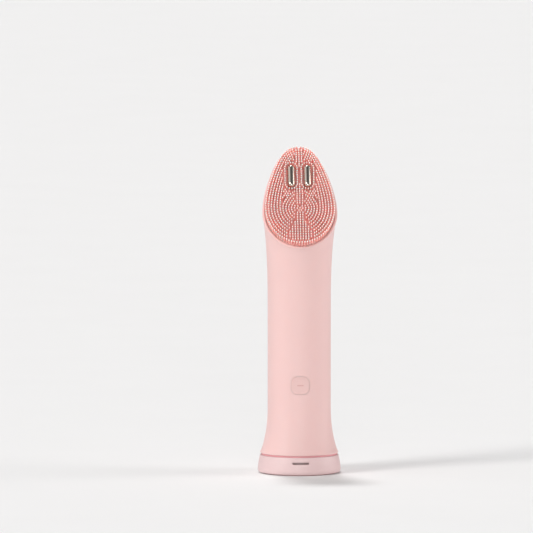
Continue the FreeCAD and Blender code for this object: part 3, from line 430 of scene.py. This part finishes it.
def moulded_silicone(name, light, dark, subsurface=0.12, grain_mm=0.3, roughness=0.5):
    """Liquid silicone rubber: soft, slightly see-through pink with a very fine matte grain, faint
    clouds of tone, and a soft-touch bloom that lightens it at the edges."""
    material, tree = new_material(name)
    place = add(tree, "ShaderNodeTexCoord", {})
    cloud = add(tree, "ShaderNodeTexNoise", {
        "Vector": place.outputs["Object"], "Scale": 1 / (22 * mm), "Detail": 4.0})
    tint = add(tree, "ShaderNodeMix", {
        "Factor": cloud.outputs["Fac"], "A": linear(light), "B": linear(dark)}, data_type="RGBA")
    grain = add(tree, "ShaderNodeTexNoise", {
        "Vector": place.outputs["Object"], "Scale": 1 / (grain_mm * mm), "Detail": 2.0})
    bump = add(tree, "ShaderNodeBump", {
        "Height": grain.outputs["Fac"], "Strength": 0.15, "Distance": 0.015 * mm})
    rough = add(tree, "ShaderNodeMapRange", {
        "Value": grain.outputs["Fac"], "To Min": roughness - 0.07, "To Max": roughness + 0.07})
    shader = add(tree, "ShaderNodeBsdfPrincipled", {
        "Base Color": tint.outputs["Result"], "Roughness": rough.outputs["Result"], "IOR": 1.41,
        "Subsurface Weight": subsurface, "Subsurface Radius": (1.0, 0.45, 0.35),
        "Subsurface Scale": 2.0 * mm, "Sheen Weight": 0.12, "Sheen Roughness": 0.45,
        "Normal": bump.outputs["Normal"]})
    add(tree, "ShaderNodeOutputMaterial", {"Surface": shader.outputs["BSDF"]})
    return material


body_silicone = moulded_silicone("moulded_body_silicone", "e7c4c1", "e2bebb")
sleeve = finished(sleeve, "silicone_skin", body_silicone)
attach(sleeve, "handle")
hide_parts("silicone_sleeve")


# ------------------------------------------------------------------ power button
# A soft key in the sleeve's window: rounded square, dished for the thumb, with a short raised
# bar across its middle. It is moulded in the sleeve's own pink, and its stem passes through the
# shell to the switch.
button_gap = 0.12 * mm
key_thickness = 0.95 * mm
dish_depth = 0.45 * mm
dish_rows = ((0.06, 1.0), (0.25, 1.0), (0.45, 0.97), (0.58, 0.86), (0.68, 0.62), (0.77, 0.34),
             (0.86, 0.1), (0.93, 0.0), (0.985, 0.02), (1.0, 0.12))
stem_share = 0.68             # of the key's width
outside_key = 12 * mm         # radius of a circle that clears the key; it is drawn in to the outline
stem_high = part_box("power_button")[1]
key_half_x, key_half_z, key_corner = (value - button_gap for value in button_outline)

key = bmesh.new()
verts = bmesh.ops.create_circle(key, segments=64, radius=outside_key, cap_ends=True)["verts"]
outline = [on_outline(v.co.x, v.co.y, key_half_x, key_half_z, key_corner) for v in verts]


def place_key_ring(verts, share, depth):
    """Puts a ring of the key on the handle's surface, drawn in by share and sunk by depth."""
    for vert, (x, z) in zip(verts, outline):
        vert.co = Vector((x * share, -math.sqrt(handle_radius ** 2 - (x * share) ** 2) + depth,
                          button_z + z * share))


place_key_ring(verts, dish_rows[0][0], dish_depth * dish_rows[0][1])
for share, depth in dish_rows[1:]:
    verts = next_ring(key, verts)
    place_key_ring(verts, share, dish_depth * depth)
verts = next_ring(key, verts)
place_key_ring(verts, 1.0, key_thickness)
verts = next_ring(key, verts)
place_key_ring(verts, stem_share, key_thickness)
verts = next_ring(key, verts)
for vert in verts:
    vert.co.y = stem_high.y
bmesh.ops.contextual_create(key, geom=verts)
bmesh.ops.recalc_face_normals(key, faces=key.faces)
button_silicone = moulded_silicone("moulded_key_silicone", "e3c0bc", "deb9b6")
key = finished(key, "power_key", button_silicone)
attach(key, "button")
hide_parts("power_button")

bar_length, bar_height, bar_rise = 3.5 * mm, 0.62 * mm, 0.05 * mm
bar = bmesh.new()
bmesh.ops.create_uvsphere(bar, u_segments=20, v_segments=12, radius=bar_height / 2)
for vert in bar.verts:
    vert.co.x += math.copysign(bar_length / 2 - bar_height / 2, vert.co.x) if abs(vert.co.x) > 1e-7 else 0
    vert.co.y = vert.co.y * bar_rise / (bar_height / 2) - handle_radius + dish_depth
    vert.co.z += button_z
bar_paint = moulded_silicone("printed_bar_ink", "d9aba8", "cf9f9c", subsurface=0.0)
bar = finished(bar, "power_key_bar", bar_paint)
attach(bar, "button")
give(speckled("clear_polycarbonate", "f1d8d3", "e4c6c1", 0.6, 0.2, coat=0.4), "button_light_pipe")


# ------------------------------------------------------------------ brush pad and bristles
# One moulding in softer silicone: a domed pad in the slanted mouth of the sleeve, covered in
# round-tipped bristles. Its deeper pink is painted shade and bounced light between the bristles.
# Their rows ring the pad's lower half, run straight up its middle, follow its outline towards the
# tip and go round the two electrodes.
bristle_length = 5.0 * mm
bristle_pitch = 1.38 * mm
root_radius = 0.47 * mm
crown_radius = 400.0 * mm
crown_height = 0.5 * mm
crown_v = (face_high_reach - face_low_reach) / 2
pad_inset = 1.65 * mm
bristle_inset = pad_inset + 0.4 * mm
electrode_width = 4.0 * mm
electrode_length = 13.2 * mm
electrode_u = 4.3 * mm
electrode_v = 19.2 * mm
electrode_moat = 0.75 * mm


def crown_w(u, v):
    """Height of the pad's domed surface over the plane of the face."""
    return crown_height - (u * u + (v - crown_v) ** 2) / (2 * crown_radius)


def egg_half_width(v, half_width, low, high):
    """Half the width of an egg outline at a height v."""
    if v >= 0:
        along = min(1.0, v / high)
        return half_width * math.sqrt(1 - along * along) * (1 - face_pinch * along * along * (1 - along))
    along = min(1.0, -v / low)
    return half_width * math.sqrt(1 - along * along)


def in_field(u, v, margin):
    if not -face_low_reach + margin < v < face_high_reach - margin:
        return False
    width = egg_half_width(v, face_half_width - margin, face_low_reach - margin, face_high_reach - margin)
    return abs(u) <= width + 1e-9


def electrode_distance(u, v):
    """Distance from a point of the pad to the nearer electrode's edge."""
    reach = electrode_length / 2 - electrode_width / 2
    nearest_v = max(electrode_v - reach, min(electrode_v + reach, v))
    return math.hypot(abs(u) - electrode_u, v - nearest_v) - electrode_width / 2


def egg_row(half_width, low, high):
    """Evenly spaced points round an egg outline, from its lowest point, mirrored."""
    points = []
    fine = 1440
    last = None
    walked = bristle_pitch / 2
    for step in range(fine // 2 + 1):
        turn = -math.pi / 2 + math.pi * step / (fine // 2)
        across, along = math.cos(turn), math.sin(turn)
        if along > 0:
            across *= 1 - face_pinch * along * along * (1 - along)
        u = half_width * across
        v = (high if along > 0 else low) * along
        if last is not None:
            walked += math.hypot(u - last[0], v - last[1])
        last = (u, v)
        if walked >= bristle_pitch:
            walked -= bristle_pitch
            points.append((u, v))
            if u > 0.3 * bristle_pitch:
                points.append((-u, v))
    return points


def capsule_row(centre_u, gap):
    """Evenly spaced points round an electrode, gap away from its edge."""
    reach = electrode_length / 2 - electrode_width / 2
    radius = electrode_width / 2 + gap
    around = 4 * reach + 2 * math.pi * radius
    count = round(around / bristle_pitch)
    points = []
    for step in range(count):
        walked = around * (step + 0.5) / count
        if walked < 2 * reach:
            points.append((centre_u + radius, electrode_v - reach + walked))
            continue
        walked -= 2 * reach
        if walked < math.pi * radius:
            turn = walked / radius
            points.append((centre_u + radius * math.cos(turn),
                           electrode_v + reach + radius * math.sin(turn)))
            continue
        walked -= math.pi * radius
        if walked < 2 * reach:
            points.append((centre_u - radius, electrode_v + reach - walked))
            continue
        turn = math.pi + (walked - 2 * reach) / radius
        points.append((centre_u + radius * math.cos(turn), electrode_v - reach + radius * math.sin(turn)))
    return points


candidates = []
for side in (-1, 1):
    candidates.extend(capsule_row(side * electrode_u, electrode_moat + root_radius))
row_count = 12
outer_half_width = face_half_width - bristle_inset
outer_low = face_low_reach - bristle_inset
outer_high = face_high_reach - bristle_inset
full_rings = 6
candidates.extend(egg_row(outer_half_width, outer_low, outer_high))
strip_steps = 40              # more than the face has room for, up or down its middle
strip_flare = 0.45            # how fast the straight rows below the middle gain neighbours
for step in range(strip_steps):
    for column in range(-5, 6):
        u, v = column * bristle_pitch, -(step + 2.0) * bristle_pitch
        if abs(u) <= 1.2 * bristle_pitch + max(0.0, -v - 5 * mm) * strip_flare:
            candidates.append((u, v))
    for column in range(-1, 2):
        candidates.append((column * bristle_pitch, (step + 2.0) * bristle_pitch))
for row in range(row_count - 1, 0, -1):
    share = row / row_count
    high = outer_low * share if row <= full_rings else outer_high - (row_count - row) * bristle_pitch
    candidates.extend(egg_row(outer_half_width * share, outer_low * share, high))
candidates.append((0.0, 0.0))
spare = 26                    # rows and columns of a close lattice that fills what is left
row_height = 0.87 * bristle_pitch
for row in range(-spare, 2 * spare):
    for column in range(-spare, spare + 1):
        candidates.append(((column + 0.5 * (row % 2)) * bristle_pitch, row * row_height))

roots = []
taken = {}
cell_size = bristle_pitch
closest = 0.84 * bristle_pitch
for u, v in candidates:
    if not in_field(u, v, bristle_inset) or electrode_distance(u, v) < electrode_moat + root_radius * 0.98:
        continue
    cell = (math.floor(u / cell_size), math.floor(v / cell_size))
    near = [other for du in (-1, 0, 1) for dv in (-1, 0, 1)
            for other in taken.get((cell[0] + du, cell[1] + dv), [])]
    if all(math.hypot(u - a, v - b) >= closest for a, b in near):
        taken.setdefault(cell, []).append((u, v))
        roots.append((u, v))

bristles = bmesh.new()
along_layer = bristles.verts.layers.float.new("along")
ring = bmesh.ops.create_circle(bristles, segments=8, radius=root_radius, cap_ends=True)["verts"]
for height, radius, along in ((0.15, 0.42, 0.05), (2.6, 0.38, 0.5), (4.5, 0.38, 0.9),
                              (4.82, 0.31, 0.98), (4.98, 0.16, 1.0)):
    ring = next_ring(bristles, ring)
    for vert in ring:
        scale = radius * mm / math.hypot(vert.co.x, vert.co.y)
        vert.co = Vector((vert.co.x * scale, vert.co.y * scale, height * mm))
        vert[along_layer] = along
bmesh.ops.contextual_create(bristles, geom=ring)
bmesh.ops.recalc_face_normals(bristles, faces=bristles.faces)
template_geometry = list(bristles.verts) + list(bristles.edges) + list(bristles.faces)
wander = random.Random(7)
for u, v in roots:
    made = bmesh.ops.duplicate(bristles, geom=template_geometry)["geom"]
    copies = [item for item in made if isinstance(item, bmesh.types.BMVert)]
    normal = Vector((u / crown_radius, (v - crown_v) / crown_radius, 1.0))
    normal += Vector((wander.uniform(-0.012, 0.012), wander.uniform(-0.012, 0.012), 0.0))
    lean = normal.to_track_quat("Z", "Y").to_matrix().to_4x4()
    place = face_place @ Matrix.Translation((u, v, crown_w(u, v))) @ lean
    bmesh.ops.transform(bristles, matrix=place, verts=copies)
template_verts = [item for item in template_geometry if isinstance(item, bmesh.types.BMVert)]
bmesh.ops.delete(bristles, geom=template_verts, context="VERTS")

pad = bmesh.new()
pad_sides = 72
pad_ring = bmesh.ops.create_circle(pad, segments=pad_sides, radius=1.0, cap_ends=True)["verts"]
unit = [(vert.co.x, vert.co.y) for vert in pad_ring]


def place_pad_ring(verts, share, sink=None):
    for vert, (across, along) in zip(verts, unit):
        if along > 0:
            u = (face_half_width - pad_inset) * across * (1 - face_pinch * along ** 2 * (1 - along)) * share
            v = (face_high_reach - pad_inset) * along * share
        else:
            u = (face_half_width - pad_inset) * across * share
            v = (face_low_reach - pad_inset) * along * share
        height = crown_w(u, v) if sink is None else sink
        vert.co = face_place @ Vector((u, v, height))


place_pad_ring(pad_ring, 0.08)
for share in (0.25, 0.42, 0.58, 0.72, 0.84, 0.93, 1.0):
    pad_ring = next_ring(pad, pad_ring)
    place_pad_ring(pad_ring, share)
pad_ring = next_ring(pad, pad_ring)
place_pad_ring(pad_ring, 0.93, sink=-2.6 * mm)
bmesh.ops.contextual_create(pad, geom=pad_ring)
bmesh.ops.recalc_face_normals(pad, faces=pad.faces)


def bristle_silicone(name, painted_highlight_tip, shaft, painted_shade_root):
    """Softer silicone rubber that thin bristles let light through. Their colour carries painted light
    and shade: a painted highlight makes the tips pale, and painted shade makes them deep and warm
    towards the roots, where the close-set bristles shade each other."""
    material, tree = new_material(name)
    place = add(tree, "ShaderNodeTexCoord", {})
    height = add(tree, "ShaderNodeAttribute", {}, attribute_name="along")
    cloud = add(tree, "ShaderNodeTexNoise", {
        "Vector": place.outputs["Object"], "Scale": 1 / (1.2 * mm), "Detail": 2.0})
    uneven = add(tree, "ShaderNodeMapRange", {
        "Value": cloud.outputs["Fac"], "To Min": -0.05, "To Max": 0.05})
    level = add(tree, "ShaderNodeMath", {
        0: height.outputs["Fac"], 1: uneven.outputs["Result"]}, operation="ADD")
    # Painted highlight towards the tips, painted shade towards the roots.
    to_painted_highlight = add(tree, "ShaderNodeMapRange", {
        "Value": level.outputs["Value"], "From Min": 0.8, "From Max": 0.97})
    out_of_painted_shade = add(tree, "ShaderNodeMapRange", {
        "Value": level.outputs["Value"], "From Min": 0.1, "From Max": 0.8})
    painted_shade_lower = add(tree, "ShaderNodeMix", {
        "Factor": out_of_painted_shade.outputs["Result"], "A": linear(painted_shade_root), "B": linear(shaft)}, data_type="RGBA")
    tint = add(tree, "ShaderNodeMix", {
        "Factor": to_painted_highlight.outputs["Result"], "A": painted_shade_lower.outputs["Result"], "B": linear(painted_highlight_tip)},
        data_type="RGBA")
    bump = add(tree, "ShaderNodeBump", {
        "Height": cloud.outputs["Fac"], "Strength": 0.08, "Distance": 0.05 * mm})
    shader = add(tree, "ShaderNodeBsdfPrincipled", {
        "Base Color": tint.outputs["Result"], "Roughness": 0.42, "IOR": 1.41,
        "Subsurface Weight": 1.0, "Subsurface Radius": (1.0, 0.6, 0.55),
        "Subsurface Scale": 0.7 * mm, "Normal": bump.outputs["Normal"]})
    add(tree, "ShaderNodeOutputMaterial", {"Surface": shader.outputs["BSDF"]})
    return material


# Pale tips are painted highlight; deep, warm roots are painted shade between the bristles.
brush_pink = bristle_silicone("bristle_silicone_painted_light_and_shade", "fff0ec", "ffc0b8", "ffb4ab")
bristles = finished(bristles, "brush_bristles", brush_pink, smooth_degrees=50.0)
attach(bristles, "handle")
# The pad's deeper, more saturated pink is painted shade and bounced light between the bristles.
pad_silicone = moulded_silicone("pad_silicone_painted_shade", "ffc0ba", "fbb6b0", subsurface=0.2)
pad = finished(pad, "brush_pad_base", pad_silicone)
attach(pad, "handle")
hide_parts("brush_pad")


# ------------------------------------------------------------------ electrodes
# Two half-round bars of stainless steel, pressed, tumbled and polished. They stand among the
# bristles, a little above their tips, and are drawn down on their seals by nuts behind the plate.
electrode_proud = 0.3 * mm
electrode_top = crown_height + bristle_length + electrode_proud
electrode_foot = -3.0 * mm


def electrode_bar(side):
    """A capsule: the upper half of a ball drawn out along the face, on straight sides."""
    radius = electrode_width / 2
    reach = electrode_length / 2 - radius
    bar = bmesh.new()
    bmesh.ops.create_uvsphere(bar, u_segments=48, v_segments=24, radius=radius)
    cut = bmesh.ops.bisect_plane(
        bar, geom=list(bar.verts) + list(bar.edges) + list(bar.faces),
        plane_co=(0, 0, 0), plane_no=(0, 1, 0))["geom_cut"]
    bmesh.ops.split_edges(bar, edges=[item for item in cut if isinstance(item, bmesh.types.BMEdge)])
    for vert in bar.verts:
        faces_middle = sum(face.calc_center_median().y for face in vert.link_faces)
        vert.co.y += math.copysign(reach, faces_middle)
    loose = [edge for edge in bar.edges if edge.is_boundary]
    bmesh.ops.bridge_loops(bar, edges=loose)
    bmesh.ops.bisect_plane(
        bar, geom=list(bar.verts) + list(bar.edges) + list(bar.faces),
        plane_co=(0, 0, 0), plane_no=(0, 0, -1), clear_outer=True)
    rim = [edge for edge in bar.edges if edge.is_boundary]
    made = bmesh.ops.extrude_edge_only(bar, edges=rim)["geom"]
    low = [item for item in made if isinstance(item, bmesh.types.BMVert)]
    for vert in low:
        vert.co.z = electrode_foot - (electrode_top - radius)
    bmesh.ops.contextual_create(bar, geom=[edge for edge in bar.edges if edge.is_boundary])
    bmesh.ops.remove_doubles(bar, verts=bar.verts, dist=1e-7)
    bmesh.ops.recalc_face_normals(bar, faces=bar.faces)
    place = face_place @ Matrix.Translation((side * electrode_u, electrode_v, electrode_top - radius))
    bmesh.ops.transform(bar, matrix=place, verts=bar.verts)
    return bar


def polished_steel(name, light, dark):
    """Polished stainless steel: a clear mirror, with hairlines along the bar that drag the
    highlight a little and a faint warm cast."""
    material, tree = new_material(name)
    place = add(tree, "ShaderNodeTexCoord", {})
    turned = add(tree, "ShaderNodeMapping", {
        "Vector": place.outputs["Object"], "Rotation": (-face_turn, 0, 0), "Scale": (1.0, 0.05, 1.0)})
    lines = add(tree, "ShaderNodeTexNoise", {
        "Vector": turned.outputs["Vector"], "Scale": 1 / (0.12 * mm), "Detail": 3.0})
    rough = add(tree, "ShaderNodeMapRange", {
        "Value": lines.outputs["Fac"], "To Min": 0.08, "To Max": 0.2})
    tint = add(tree, "ShaderNodeMix", {
        "Factor": lines.outputs["Fac"], "A": linear(light), "B": linear(dark)}, data_type="RGBA")
    bump = add(tree, "ShaderNodeBump", {
        "Height": lines.outputs["Fac"], "Strength": 0.03, "Distance": 0.01 * mm})
    shader = add(tree, "ShaderNodeBsdfPrincipled", {
        "Base Color": tint.outputs["Result"], "Metallic": 1.0,
        "Roughness": rough.outputs["Result"], "Normal": bump.outputs["Normal"]})
    add(tree, "ShaderNodeOutputMaterial", {"Surface": shader.outputs["BSDF"]})
    return material


electrode_steel = polished_steel("polished_stainless_steel", "d9cdc2", "c3b7ac")
for side, word in ((-1, "left"), (1, "right")):
    bar = finished(electrode_bar(side), f"electrode_bar_{word}", electrode_steel, smooth_degrees=40.0)
    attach(bar, "handle")
    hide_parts(f"electrode_{word}")


# ------------------------------------------------------------------ base cap and foot pad
# A turned-looking moulding in cooler pink ABS that pulls down off the plug's spigot: a flared
# wall with a rounded toe, a collar inside it, and a round-ended slot through the front. A disc
# of grippy thermoplastic rubber is bonded into its underside.
cap_top = 9.6 * mm
cap_widest = 2.2 * mm
foot_radius = 22.0 * mm
cap_wall = 1.8 * mm
cap_floor = 2.75 * mm
slot_z = 6.6 * mm
slot_outline = (4.4 * mm, 0.61 * mm, 0.609 * mm)
slot_margin = 0.75 * mm
flank_lean = 0.57 * mm
flank_curve = 0.68 * mm


def cap_radius(z):
    """Radius of the cap's flank: nearly upright at its widest line, drawn in towards the seam."""
    rise = (z - cap_widest) / (cap_top - cap_widest)
    return foot_radius - flank_lean * rise - flank_curve * rise * rise


def cap_room_radius(z):
    """Radius of the hollow inside the flank."""
    rise = (z - cap_floor) / (cap_top - cap_floor)
    return foot_radius - cap_wall - (foot_radius - seam_radius) * rise


# The cap's section in millimetres, radius and height: underside, rounded toe, flank, top edge,
# the inside of the flank, the collar round the spigot and the floor.
profile = [(0.0, 1.15), (10.0, 1.15), (20.25, 1.15), (20.35, 1.05), (20.35, 0.45), (20.45, 0.35),
           (21.05, 0.36)]
toe_steps = 8
toe_width, toe_height = 0.95, 1.84
for step in range(1, toe_steps + 1):
    turn = math.pi / 2 * step / toe_steps
    profile.append((21.05 + toe_width * math.sin(turn), 2.2 - toe_height * math.cos(turn)))
flank = [2.8, 3.5, 4.2, 4.9, 5.4, 5.75, 6.1, 6.4, 6.7, 7.0, 7.35, 7.7, 8.2, 8.7, 9.2]
profile += [(cap_radius(z * mm) / mm, z) for z in flank]
top_edge = cap_radius(cap_top) / mm
profile += [(top_edge, 9.42), (top_edge - 0.06, 9.54), (top_edge - 0.18, 9.6), (top_edge - 1.6, 9.6)]
profile += [(cap_room_radius(z * mm) / mm, z) for z in reversed(flank)]
profile += [(20.1, 2.95), (19.9, 2.75), (16.9, 2.75), (16.65, 2.95), (16.65, 8.25), (16.45, 8.45),
            (15.35, 8.45), (15.15, 8.25), (15.15, 2.95), (14.9, 2.75), (8.0, 2.75), (0.0, 2.75)]
cap = bmesh.new()
points = [cap.verts.new((radius * mm, 0, z * mm)) for radius, z in profile]
for first, second in zip(points, points[1:]):
    cap.edges.new((first, second))
bmesh.ops.spin(cap, geom=list(cap.verts) + list(cap.edges), cent=(0, 0, 0), axis=(0, 0, 1),
               angle=2 * math.pi, steps=192, use_merge=True)
bmesh.ops.remove_doubles(cap, verts=cap.verts, dist=1e-6)
bmesh.ops.recalc_face_normals(cap, faces=cap.faces)
outer_edges = open_window(cap, cap_radius, slot_z, slot_outline, slot_margin)
inner_edges = open_window(cap, cap_room_radius, slot_z, slot_outline, slot_margin)
made = bmesh.ops.extrude_edge_only(cap, edges=outer_edges)["geom"]
outer_edges = [item for item in made if isinstance(item, bmesh.types.BMEdge)]
for vert in (item for item in made if isinstance(item, bmesh.types.BMVert)):
    vert.co.y += 0.1 * mm
bmesh.ops.bridge_loops(cap, edges=outer_edges + inner_edges)
bmesh.ops.recalc_face_normals(cap, faces=cap.faces)
cap_abs = moulded_abs("moulded_pink_abs", "e0c5c5", "dbbfbf", grain_mm=0.3, roughness=0.45)
cap = finished(cap, "base_cap_shell", cap_abs, smooth_degrees=30.0)
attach(cap, "cap")
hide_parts("base_cap")


def grippy_rubber(name, light, dark):
    """Thermoplastic rubber: dull pink, with a fine pebbled grip."""
    material, tree = new_material(name)
    place = add(tree, "ShaderNodeTexCoord", {})
    pebble = add(tree, "ShaderNodeTexVoronoi", {
        "Vector": place.outputs["Object"], "Scale": 1 / (0.9 * mm)}, feature="SMOOTH_F1")
    tint = add(tree, "ShaderNodeMix", {
        "Factor": pebble.outputs["Distance"], "A": linear(light), "B": linear(dark)}, data_type="RGBA")
    bump = add(tree, "ShaderNodeBump", {
        "Height": pebble.outputs["Distance"], "Strength": 0.5, "Distance": 0.08 * mm})
    bump.invert = True
    shader = add(tree, "ShaderNodeBsdfPrincipled", {
        "Base Color": tint.outputs["Result"], "Roughness": 0.75, "IOR": 1.5,
        "Normal": bump.outputs["Normal"]})
    add(tree, "ShaderNodeOutputMaterial", {"Surface": shader.outputs["BSDF"]})
    return material


give(grippy_rubber("moulded_thermoplastic_rubber", "d3a2a2", "b98787"), "foot_pad")


# ------------------------------------------------------------------ floor, light and camera
# A plain pale paper floor, a key softbox to the front left, weaker ones low in front and on the
# right, one high behind that throws the shadow forward, and a long lens a little above the foot.
paper, tree = new_material("pale_matte_paper")
place = add(tree, "ShaderNodeTexCoord", {})
fibre = add(tree, "ShaderNodeTexNoise", {
    "Vector": place.outputs["Object"], "Scale": 1 / (60 * mm), "Detail": 2.0})
tint = add(tree, "ShaderNodeMix", {
    "Factor": fibre.outputs["Fac"], "A": linear("e9e9e9"), "B": linear("ebebeb")}, data_type="RGBA")
shader = add(tree, "ShaderNodeBsdfPrincipled", {
    "Base Color": tint.outputs["Result"], "Roughness": 0.9, "Specular IOR Level": 0.1})
add(tree, "ShaderNodeOutputMaterial", {"Surface": shader.outputs["BSDF"]})

floor = bmesh.new()
bmesh.ops.create_grid(floor, x_segments=1, y_segments=1, size=30.0)
floor = finished(floor, "paper_floor", paper)
floor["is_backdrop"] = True


def direction(azimuth, elevation):
    """A unit vector towards a place in the studio; azimuth 0 is in front, 90 to the right."""
    turn, rise = math.radians(azimuth), math.radians(elevation)
    return Vector((math.sin(turn) * math.cos(rise), -math.cos(turn) * math.cos(rise), math.sin(rise)))


# The studio round the object: dim grey walls, with a bright reflector on the left and a weaker
# one on the right. Polished steel shows both, and a dark line between them.
wall_level = 0.14
reflectors = ((-84.0, 38.0, wall_level, wall_level + 0.72), (84.0, 36.0, 0.0, 0.3))
reflector_inner, reflector_outer = math.radians(16.0), math.radians(34.0)
world = bpy.data.worlds.new("studio")
world.use_nodes = True
tree = world.node_tree
tree.nodes.clear()
place = add(tree, "ShaderNodeTexCoord", {})
glows = []
for turn, rise, dim, bright in reflectors:
    towards = add(tree, "ShaderNodeVectorMath", {
        0: place.outputs["Generated"], 1: direction(turn, rise)}, operation="DOT_PRODUCT")
    glow = add(tree, "ShaderNodeMapRange", {
        "Value": towards.outputs["Value"], "From Min": math.cos(reflector_outer),
        "From Max": math.cos(reflector_inner), "To Min": dim, "To Max": bright},
        interpolation_type="SMOOTHSTEP")
    glows.append(glow.outputs["Result"])
level = add(tree, "ShaderNodeMath", {0: glows[0], 1: glows[1]}, operation="ADD")
background = add(tree, "ShaderNodeBackground", {
    "Color": linear("fcfcfd"), "Strength": level.outputs["Value"]})
add(tree, "ShaderNodeOutputWorld", {"Surface": background.outputs["Background"]})
bpy.context.scene.world = world


def far_softbox(name, azimuth, elevation, spread, strength, tint):
    """A large softbox a long way off, so that its light is the same all over the floor."""
    lamp = bpy.data.lights.new(name, "SUN")
    lamp.angle = math.radians(spread)
    lamp.energy = strength
    lamp.color = linear(tint)[:3]
    holder = bpy.data.objects.new(name, lamp)
    holder.rotation_mode = "QUATERNION"
    holder.rotation_quaternion = direction(azimuth, elevation).to_track_quat("Z", "Y")
    bpy.context.scene.collection.objects.link(holder)


far_softbox("key_softbox", -56, 31, 22, 1.52, "fffefc")
far_softbox("front_softbox", -2, 5, 16, 1.02, "fffdfb")
far_softbox("rim_softbox", 88, 15, 36, 1.35, "fff8f6")
far_softbox("top_softbox", -166, 69, 11, 1.5, "ffffff")

camera_distance = 6.0
camera_turn, camera_rise = -2.0, 5.0
view_width = 282.7 * mm
aim_right, aim_up = -17.34 * mm, 108.98 * mm
camera_data = bpy.data.cameras.new("camera")
camera_data.sensor_width = 36.0
camera_data.lens = camera_data.sensor_width * camera_distance / view_width
camera_data.clip_end = 50.0
back = direction(camera_turn, camera_rise)
right = direction(camera_turn + 90.0, 0.0)
up = back.cross(right)
camera = bpy.data.objects.new("camera", camera_data)
camera.location = right * aim_right + up * aim_up + back * camera_distance
camera.rotation_mode = "QUATERNION"
camera.rotation_quaternion = (-back).to_track_quat("-Z", "Y")
bpy.context.scene.collection.objects.link(camera)
bpy.context.scene.camera = camera
bpy.context.scene.view_settings.view_transform = "Standard"

low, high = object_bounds()
